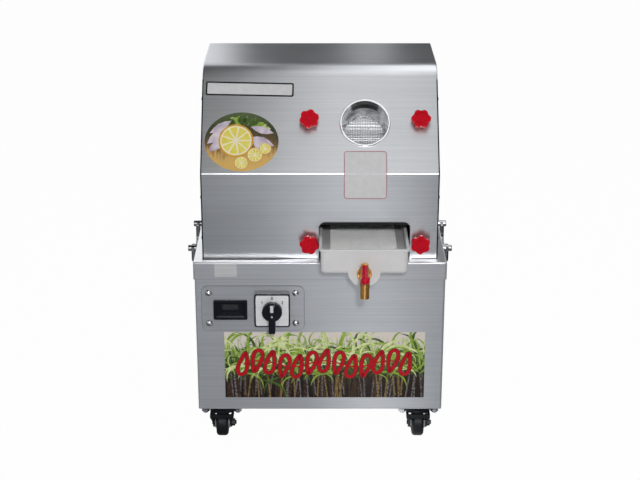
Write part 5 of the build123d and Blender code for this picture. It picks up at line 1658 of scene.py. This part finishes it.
@dataclass
class JuiceTray:
    """Juice tray with its woven strainer and its tap.

    Attributes:
        finishes: The machine's finishes.
        pitch: Distance between the wires of the weave.
        wire: Radius of a wire.
        crimp: How far a wire swings up and down, as a share of its radius.
        margin: Gap between the weave and the edge of its frame.
        rise: How far the weave lies above the middle of the sheet that it stands for.
    """

    finishes: Finishes
    pitch: float = 1.9
    wire: float = 0.48
    crimp: float = 0.8
    margin: float = 2.0
    rise: float = 0.2

    def build(self) -> None:
        """Build and dress the tray."""
        dress(self.finishes.tray, "juice_tray")
        dress(self.finishes.strainer, "strainer_frame")
        dress(self.finishes.brass, "tap_body", "tap_locknut", "tap_ball", "tap_lever")
        dress(self.finishes.grip, "tap_lever_grip")
        self.woven_mesh()

    def woven_mesh(self) -> None:
        """Plain weave of crimped wires in the strainer, with Geometry Nodes."""
        low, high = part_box("strainer_mesh")
        width, length = [high[axis] - low[axis] - 2 * self.margin * MM for axis in (0, 1)]
        u, v, z = [(start + end) / 2 for start, end in zip(low, high)]
        middle = (u, v, z + self.rise * MM)
        tree = NodeModifier(
            "Woven Wire",
            {"Width": width, "Length": length, "Pitch": self.pitch * MM, "Wire Radius": self.wire * MM},
        )
        graph = tree.graph
        joined = graph.add("GeometryNodeJoinGeometry")
        for along, spread in (("Width", "Length"), ("Length", "Width")):
            layer = self.wire_layer(tree, along, spread)
            graph.tree.links.new(layer, joined.inputs[0])
        moved = graph.add("GeometryNodeTransform", Geometry=joined.outputs[0], Translation=middle)
        tree.close(moved.outputs[0], self.finishes.weave)
        carrier = point_cloud("weave_carrier", [Vector((0, 0, 0))])
        piece = tree.bake("strainer_weave", carrier, self.finishes.weave)
        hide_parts("strainer_mesh")
        settle(piece, "juice_tray")

    def wire_layer(self, tree: NodeModifier, along: str, spread: str) -> bpy.types.NodeSocket:
        """One direction of the weave.

        Args:
            tree: The tree to add to.
            along: Input that gives the wires' length.
            spread: Input that gives the width they are spread over.

        Returns:
            The layer's geometry.
        """
        graph = tree.graph
        axis, cross = ("X", "Y") if along == "Width" else ("Y", "X")
        radius = tree.value("Wire Radius")

        def spaced(size: str, key: str) -> bpy.types.NodeSocket:
            """Points at the pitch along one axis."""
            half = graph.times(tree.value(size), 0.5)
            line = graph.line(graph.xyz(**{key: graph.times(half, -1.0)}), graph.xyz(**{key: half}))
            count = graph.plus(graph.math("DIVIDE", tree.value(size), tree.value("Pitch")), 1.0)
            return graph.add("GeometryNodeResampleCurve", Curve=line, Count=count).outputs[0]

        odd = graph.math("MODULO", graph.add("GeometryNodeInputIndex").outputs[0], 2.0)
        swing = graph.math("SUBTRACT", graph.times(odd, 2.0), 1.0)
        share = self.crimp if axis == "X" else -self.crimp
        crimp = graph.times(swing, graph.times(radius, share))
        crimped = graph.add(
            "GeometryNodeSetPosition", Geometry=spaced(along, axis), Offset=graph.xyz(Z=crimp)
        )
        profile = graph.add("GeometryNodeCurvePrimitiveCircle", Resolution=3, Radius=radius)
        wire = graph.sweep(crimped.outputs[0], profile.outputs[0])
        points = graph.add("GeometryNodeCurveToPoints", {"mode": "EVALUATED"}, Curve=spaced(spread, cross))
        placed = graph.add(
            "GeometryNodeInstanceOnPoints", Points=points.outputs[0], Instance=wire,
            Rotation=graph.xyz(**{axis: graph.times(odd, math.pi)}),
        )
        return placed.outputs[0]


@dataclass
class Controls:
    """Control plate with the meter and the cam switch.

    Attributes:
        finishes: The machine's finishes.
        switch_x: Where the switch's shaft stands.
        switch_z: Height of the shaft.
        plate_back: Front of the switch's face plate.
        grip_back: Front of the raised grip.
        panel_centre: Centre of the control plate.
        panel_size: Size of the control plate.
        panel_corner: Radius of its corners.
        panel_gap: Width of the painted shadow gap round it.
        figure_reach: Distance of the switch's figures from its shaft.
        figure_font: Size of their font.
        figure_lift: How far their middle lies above the switch's plate.
        face_size: Side of the switch's silver sheet.
        face_corner: Radius of its corners.
        pointer_size: Width and length of the pointer.
        pointer_up: Height of its middle above the shaft.
        dot_size: Diameter of the dot.
        dot_down: Depth of its middle below the shaft.
        window_back: Where the meter's window lies.
        mark_x: Middles of the meter's marks.
        mark_z: Their height.
        mark_size: Width and height of a mark.
    """

    finishes: Finishes
    switch_x: float = -86.0
    switch_z: float = 270.8
    plate_back: float = -10.5
    grip_back: float = -31.9
    panel_centre: Point = (-121.0, 270.5)
    panel_size: Point = (184.0, 87.0)
    panel_corner: float = 11.0
    panel_gap: float = 1.0
    figure_reach: float = 24.0
    figure_font: float = 8.64
    figure_lift: float = 0.28
    face_size: float = 59.0
    face_corner: float = 3.0
    pointer_size: Point = (5.5, 13.0)
    pointer_up: float = 12.0
    dot_size: float = 3.6
    dot_down: float = 3.0
    window_back: float = -2.0
    mark_x: Level = (-172.5, -161.5, -150.5)
    mark_z: float = 262.0
    mark_size: Point = (5.0, 2.4)

    def build(self) -> None:
        """Build and dress the controls."""
        dress(self.finishes.plate, "control_plate")
        dress(self.finishes.dome, "control_plate_screws")
        dress(self.finishes.black_gloss, "meter_bezel", "switch_plate", "switch_handle")
        dress(self.finishes.switch_grey, "switch_body")
        dress(self.finishes.display, "meter_window")
        self.panel_shade_ring()
        self.switch_face()
        self.numerals()
        self.pointer()
        self.meter_marks()

    def panel_shade_ring(self) -> None:
        """Painted shade: a thin grey ring on the cabinet's face round the control plate, standing in for its
        shadow gap.
        """
        width, height = self.panel_size
        size = (width + 2 * self.panel_gap, height + 2 * self.panel_gap)
        outer = rounded_levels(self.panel_centre, size, self.panel_corner + self.panel_gap)
        inner = rounded_levels(self.panel_centre, self.panel_size, self.panel_corner)
        seam = ring_sheet("panel_shade_ring", outer, inner, on_front(CABINET_BACK), 0.08, self.finishes.shade_ink)
        settle(seam, ROOT)

    def switch_face(self) -> None:
        """Silver sheet set inside the plate's black border."""
        size = (self.face_size, self.face_size)
        levels = rounded_levels((self.switch_x, self.switch_z), size, self.face_corner)
        face = on_front(self.plate_back)
        lay_plate("switch_face_sheet", levels, face, (0.02, 0.22), self.finishes.silver)

    def numerals(self) -> None:
        """The three positions of the switch, as raised figures."""
        for text, angle in (("1", -49.0), ("0", 0.0), ("2", 49.0)):
            turn = math.radians(angle)
            x = self.switch_x + self.figure_reach * math.sin(turn)
            z = self.switch_z + self.figure_reach * math.cos(turn)
            self.figure(f"switch_figure_{text}", text, x, z)

    def figure(self, name: str, text: str, x: float, z: float) -> None:
        """One figure as a thin mesh on the face sheet.

        Args:
            name: Name of the piece.
            text: The figure.
            x: Its centre across.
            z: Its centre's height.
        """
        curve = bpy.data.curves.new(name, "FONT")
        curve.body = text
        curve.align_x = "CENTER"
        curve.align_y = "CENTER"
        curve.size = self.figure_font * MM
        curve.extrude = 0.06 * MM
        curve.offset = 0.10 * MM
        mesh = evaluated_mesh(add_object(name, curve), self.finishes.black_ink)
        centre = at(x, self.plate_back - self.figure_lift, z)
        for vertex in mesh.vertices:
            u, v, w = vertex.co
            vertex.co = (centre.x + u, centre.y - w, centre.z + v)
        settle(add_object(name, mesh), ROOT)

    def pointer(self) -> None:
        """White pointer and dot on the turning grip."""
        face = on_front(self.grip_back)
        above = (self.switch_x, self.switch_z + self.pointer_up)
        below = (self.switch_x, self.switch_z - self.dot_down)
        marks = {
            "switch_pointer": rounded_levels(above, self.pointer_size, 1.2),
            "switch_dot": oval_levels(below, (self.dot_size, self.dot_size), 12),
        }
        for name, levels in marks.items():
            lay_plate(
                name, levels, face, (0.02, 0.25), self.finishes.white_ink, "switch_handle"
            )

    def meter_marks(self) -> None:
        """Three faint printed marks under the meter's window."""
        face = on_front(self.window_back)
        for number, x in enumerate(self.mark_x):
            levels = rounded_levels((x, self.mark_z), self.mark_size, 0.8, 3)
            lay_plate(
                f"meter_mark_{number}", levels, face, (0.02, 0.14), self.finishes.faint_ink
            )


@dataclass
class RunningGear:
    """Casters, carrying handles and star knobs.

    Attributes:
        finishes: The machine's finishes.
    """

    finishes: Finishes

    def build(self) -> None:
        """Dress the casters, handles and knobs."""
        corners = [f"{end}_{side}" for end in ("front", "rear") for side in ("left", "right")]
        dress(self.finishes.caster_paint, "caster_plates", *[f"caster_fork_{name}" for name in corners])
        dress(self.finishes.wheel, *[f"caster_wheel_{name}" for name in corners])
        dress(self.finishes.zinc, "caster_bolts")
        dress(self.finishes.chrome, "handle_brackets", "handle_bail_left", "handle_bail_right")
        knobs = [f"{level}_{side}" for level in ("upper", "lower") for side in ("left", "right")]
        dress(self.finishes.red, *[f"star_knob_{name}" for name in knobs])


@dataclass
class Studio:
    """Pale floor, cards for reflections, lamps, white surroundings and the camera.

    Attributes:
        lens: Focal length in millimetres.
        pitch: How far the camera looks down, in degrees.
        camera_back: Camera's place in front of the skirt.
        camera_z: Camera's height.
        pool_x: Middle of the pool of light on the floor, in metres.
        pool_width: Width of the pool.
        pool_tone: Tone of the pool in reflections.
        floor_tone: Tone of the floor around the pool in reflections.
        side_tone: Tone of the floor to the left and right in reflections.
        far_tone: Tone of the floor further off to the sides and behind in reflections.
        card_tint: Tint of the cards.
    """

    lens: float = 83.1
    pitch: float = 20.8
    camera_back: float = -2448.0
    camera_z: float = 1333.0
    pool_x: float = 0.105
    pool_width: float = 0.100
    pool_tone: float = 1.62
    floor_tone: float = 0.19
    side_tone: float = 0.12
    far_tone: float = 0.50
    card_tint: Colour = (0.985, 0.995, 1.015)

    def build(self) -> None:
        """Build the studio."""
        self.floor()
        self.cards()
        self.surroundings()
        self.lamps()
        self.camera()
        bpy.context.scene.view_settings.view_transform = "Standard"

    def floor(self) -> None:
        """Pale floor: white to the camera with the shadow kept, and a soft pool of light in reflections."""
        graph, shader, coords, material = start_material("studio_floor")
        shader.inputs["Base Color"].default_value = (0.86, 0.86, 0.86, 1.0)
        shader.inputs["Roughness"].default_value = 0.8
        across, back, _ = graph.split(coords.outputs["Object"])
        apart = graph.math("ABSOLUTE", across)
        offset = graph.math("DIVIDE", graph.math("SUBTRACT", across, self.pool_x), self.pool_width)
        fall = graph.math("POWER", math.e, graph.times(graph.times(offset, offset), -1.0))
        reach = graph.span(back, (-1.3, -0.5), (1.25, 0.75))
        pool = graph.times(graph.times(fall, self.pool_tone - self.floor_tone), reach)
        around = graph.span(apart, (0.38, 0.80), (self.floor_tone, self.side_tone))
        ground = graph.times(around, graph.span(across, (0.16, 0.40), (1.0, 0.25)))
        far = graph.span(graph.math("MAXIMUM", apart, back), (1.2, 2.0), (0.0, self.far_tone), smooth=True)
        tone = graph.math("MAXIMUM", graph.plus(pool, ground), far)
        tint = graph.mix(fall, (0.93, 0.98, 1.07), WHITE)
        path = graph.add("ShaderNodeLightPath").outputs
        glow = graph.add("ShaderNodeEmission", Color=WHITE, Strength=1.0)
        direct = self.blend(graph, graph.times(path["Is Camera Ray"], 0.98), shader, glow)
        mirrored = graph.add("ShaderNodeEmission", Color=tint, Strength=tone)
        mixed = self.blend(graph, self.mirror_rays(graph, path), direct, mirrored)
        sink = material.node_tree.nodes["Material Output"]
        graph.feed(sink.inputs["Surface"], mixed.outputs[0])
        edge = 30.0
        signs = ((-1, -1), (1, -1), (1, 1), (-1, 1))
        corners = [Vector((edge * side, edge * depth, 0.0)) for side, depth in signs]
        mesh_object("studio_floor", corners, [(0, 1, 2, 3)], material)

    def blend(
        self, graph: Graph, share: object, first: bpy.types.Node, second: bpy.types.Node
    ) -> bpy.types.Node:
        """Mix two shaders by the share of the second."""
        node = graph.add("ShaderNodeMixShader", Fac=share)
        graph.feed(node.inputs[1], first.outputs[0])
        graph.feed(node.inputs[2], second.outputs[0])
        return node

    def mirror_rays(self, graph: Graph, path: bpy.types.bpy_prop_collection) -> bpy.types.NodeSocket:
        """Return one for what is seen by reflection or through a surface."""
        return graph.math("MAXIMUM", path["Is Glossy Ray"], path["Is Transmission Ray"])

    def cards(self) -> None:
        """Graded grey cards that only reflections show: three behind the top panel, the others overhead."""
        wall, low, high = 1.15, 0.6, 1.9
        behind, hump, beside = [
            ((west, wall, low), (east, wall, low), (east, wall, high), (west, wall, high))
            for west, east in ((-1.6, 0.0), (0.0, 0.135), (0.135, 1.6))
        ]
        left = ((-1.8, -1.7, high), (-0.165, -1.7, high), (0.015, 1.1, high), (-1.8, 1.1, high))
        right = ((0.27, -1.7, high), (1.8, -1.7, high), (1.8, 0.1, high), (0.27, 0.1, high))
        over = ((-0.08, 0.1, high), (1.8, 0.1, high), (1.8, 1.1, high), (-0.02, 1.1, high))
        plan = (
            ("card_behind", (1.12, 0.07), (-0.285, -0.17), behind),
            ("card_behind_glow", (0.07, 0.50), (0.02, 0.125), hump),
            ("card_behind_right", (0.50, 0.05), (0.145, 0.22), beside),
            ("card_above_left", (0.0, 0.04), (-0.40, -0.10), left),
            ("card_above_right", (0.65, 0.40), (0.27, 0.45), right),
            ("card_above_bend", (0.50, 1.75), (-0.05, 0.20), over),
        )
        for name, tones, ends, corners in plan:
            graph, _, coords, material = start_material(f"{name}_grey")
            across = graph.split(coords.outputs["Object"])[0]
            level = graph.span(across, ends, tones, smooth=True)
            glow = graph.add("ShaderNodeEmission", Color=self.card_tint, Strength=level)
            graph.feed(material.node_tree.nodes["Material Output"].inputs["Surface"], glow.outputs[0])
            card = mesh_object(name, [Vector(corner) for corner in corners], [(0, 1, 2, 3)], material)
            card.visible_camera = False
            card.visible_diffuse = False
            card.visible_shadow = False

    def surroundings(self) -> None:
        """White to the camera, a plain room to matt surfaces, and a room with grey sides in reflections."""
        world = bpy.data.worlds.new("studio_world")
        world.use_nodes = True
        bpy.context.scene.world = world
        graph = Graph(world.node_tree)
        for node in list(world.node_tree.nodes):
            world.node_tree.nodes.remove(node)
        way = graph.split(graph.add("ShaderNodeTexCoord").outputs["Generated"])
        sideways = graph.span(graph.math("ABSOLUTE", way[0]), (0.25, 0.80), (0.0, 0.88), smooth=True)
        levels = (0.22, graph.math("SUBTRACT", 1.1, sideways), 1.0)
        ambient, room, white = [
            graph.add("ShaderNodeBackground", Color=WHITE, Strength=level) for level in levels
        ]
        path = graph.add("ShaderNodeLightPath").outputs
        inner = self.blend(graph, self.mirror_rays(graph, path), ambient, room)
        outer = self.blend(graph, path["Is Camera Ray"], inner, white)
        sink = graph.add("ShaderNodeOutputWorld")
        graph.feed(sink.inputs["Surface"], outer.outputs[0])

    def lamps(self) -> None:
        """A soft lamp overhead, a small key lamp above the camera and a soft fill on the left."""
        aim = Vector((0.0, 0.0, 0.38))
        plan = (
            ("top_lamp", Vector((0.45, 0.30, 2.1)), 1.2, 3.5),
            ("front_lamp", Vector((0.22, -2.2, 1.50)), 0.2, 28.0),
            ("fill_lamp", Vector((-1.9, -1.2, 1.0)), 1.4, 3.0),
        )
        for name, place, size, power in plan:
            lamp = bpy.data.lights.new(name, "AREA")
            lamp.shape = "SQUARE"
            lamp.size = size
            lamp.energy = power
            holder = add_object(name, lamp)
            holder.location = place
            holder.rotation_euler = (aim - place).to_track_quat("-Z", "Y").to_euler()

    def camera(self) -> None:
        """Camera at the photograph's viewing angle."""
        data = bpy.data.cameras.new("studio_camera")
        data.lens = self.lens
        data.sensor_width = 36.0
        data.clip_end = 100.0
        holder = add_object("studio_camera", data)
        holder.location = at(0.0, self.camera_back, self.camera_z)
        holder.rotation_euler = (math.radians(90.0 - self.pitch), 0.0, 0.0)
        bpy.context.scene.camera = holder


def main() -> None:
    """Build every sub-assembly and the studio."""
    logging.basicConfig(level=logging.INFO, format="%(name)s: %(message)s")
    finishes = Finishes()
    for assembly in (Cabinet, Hood, Mill, JuiceTray, Controls, RunningGear):
        LOG.info("building %s", assembly.__name__)
        assembly(finishes).build()
    Studio().build()


if __name__ == "__main__":
    main()
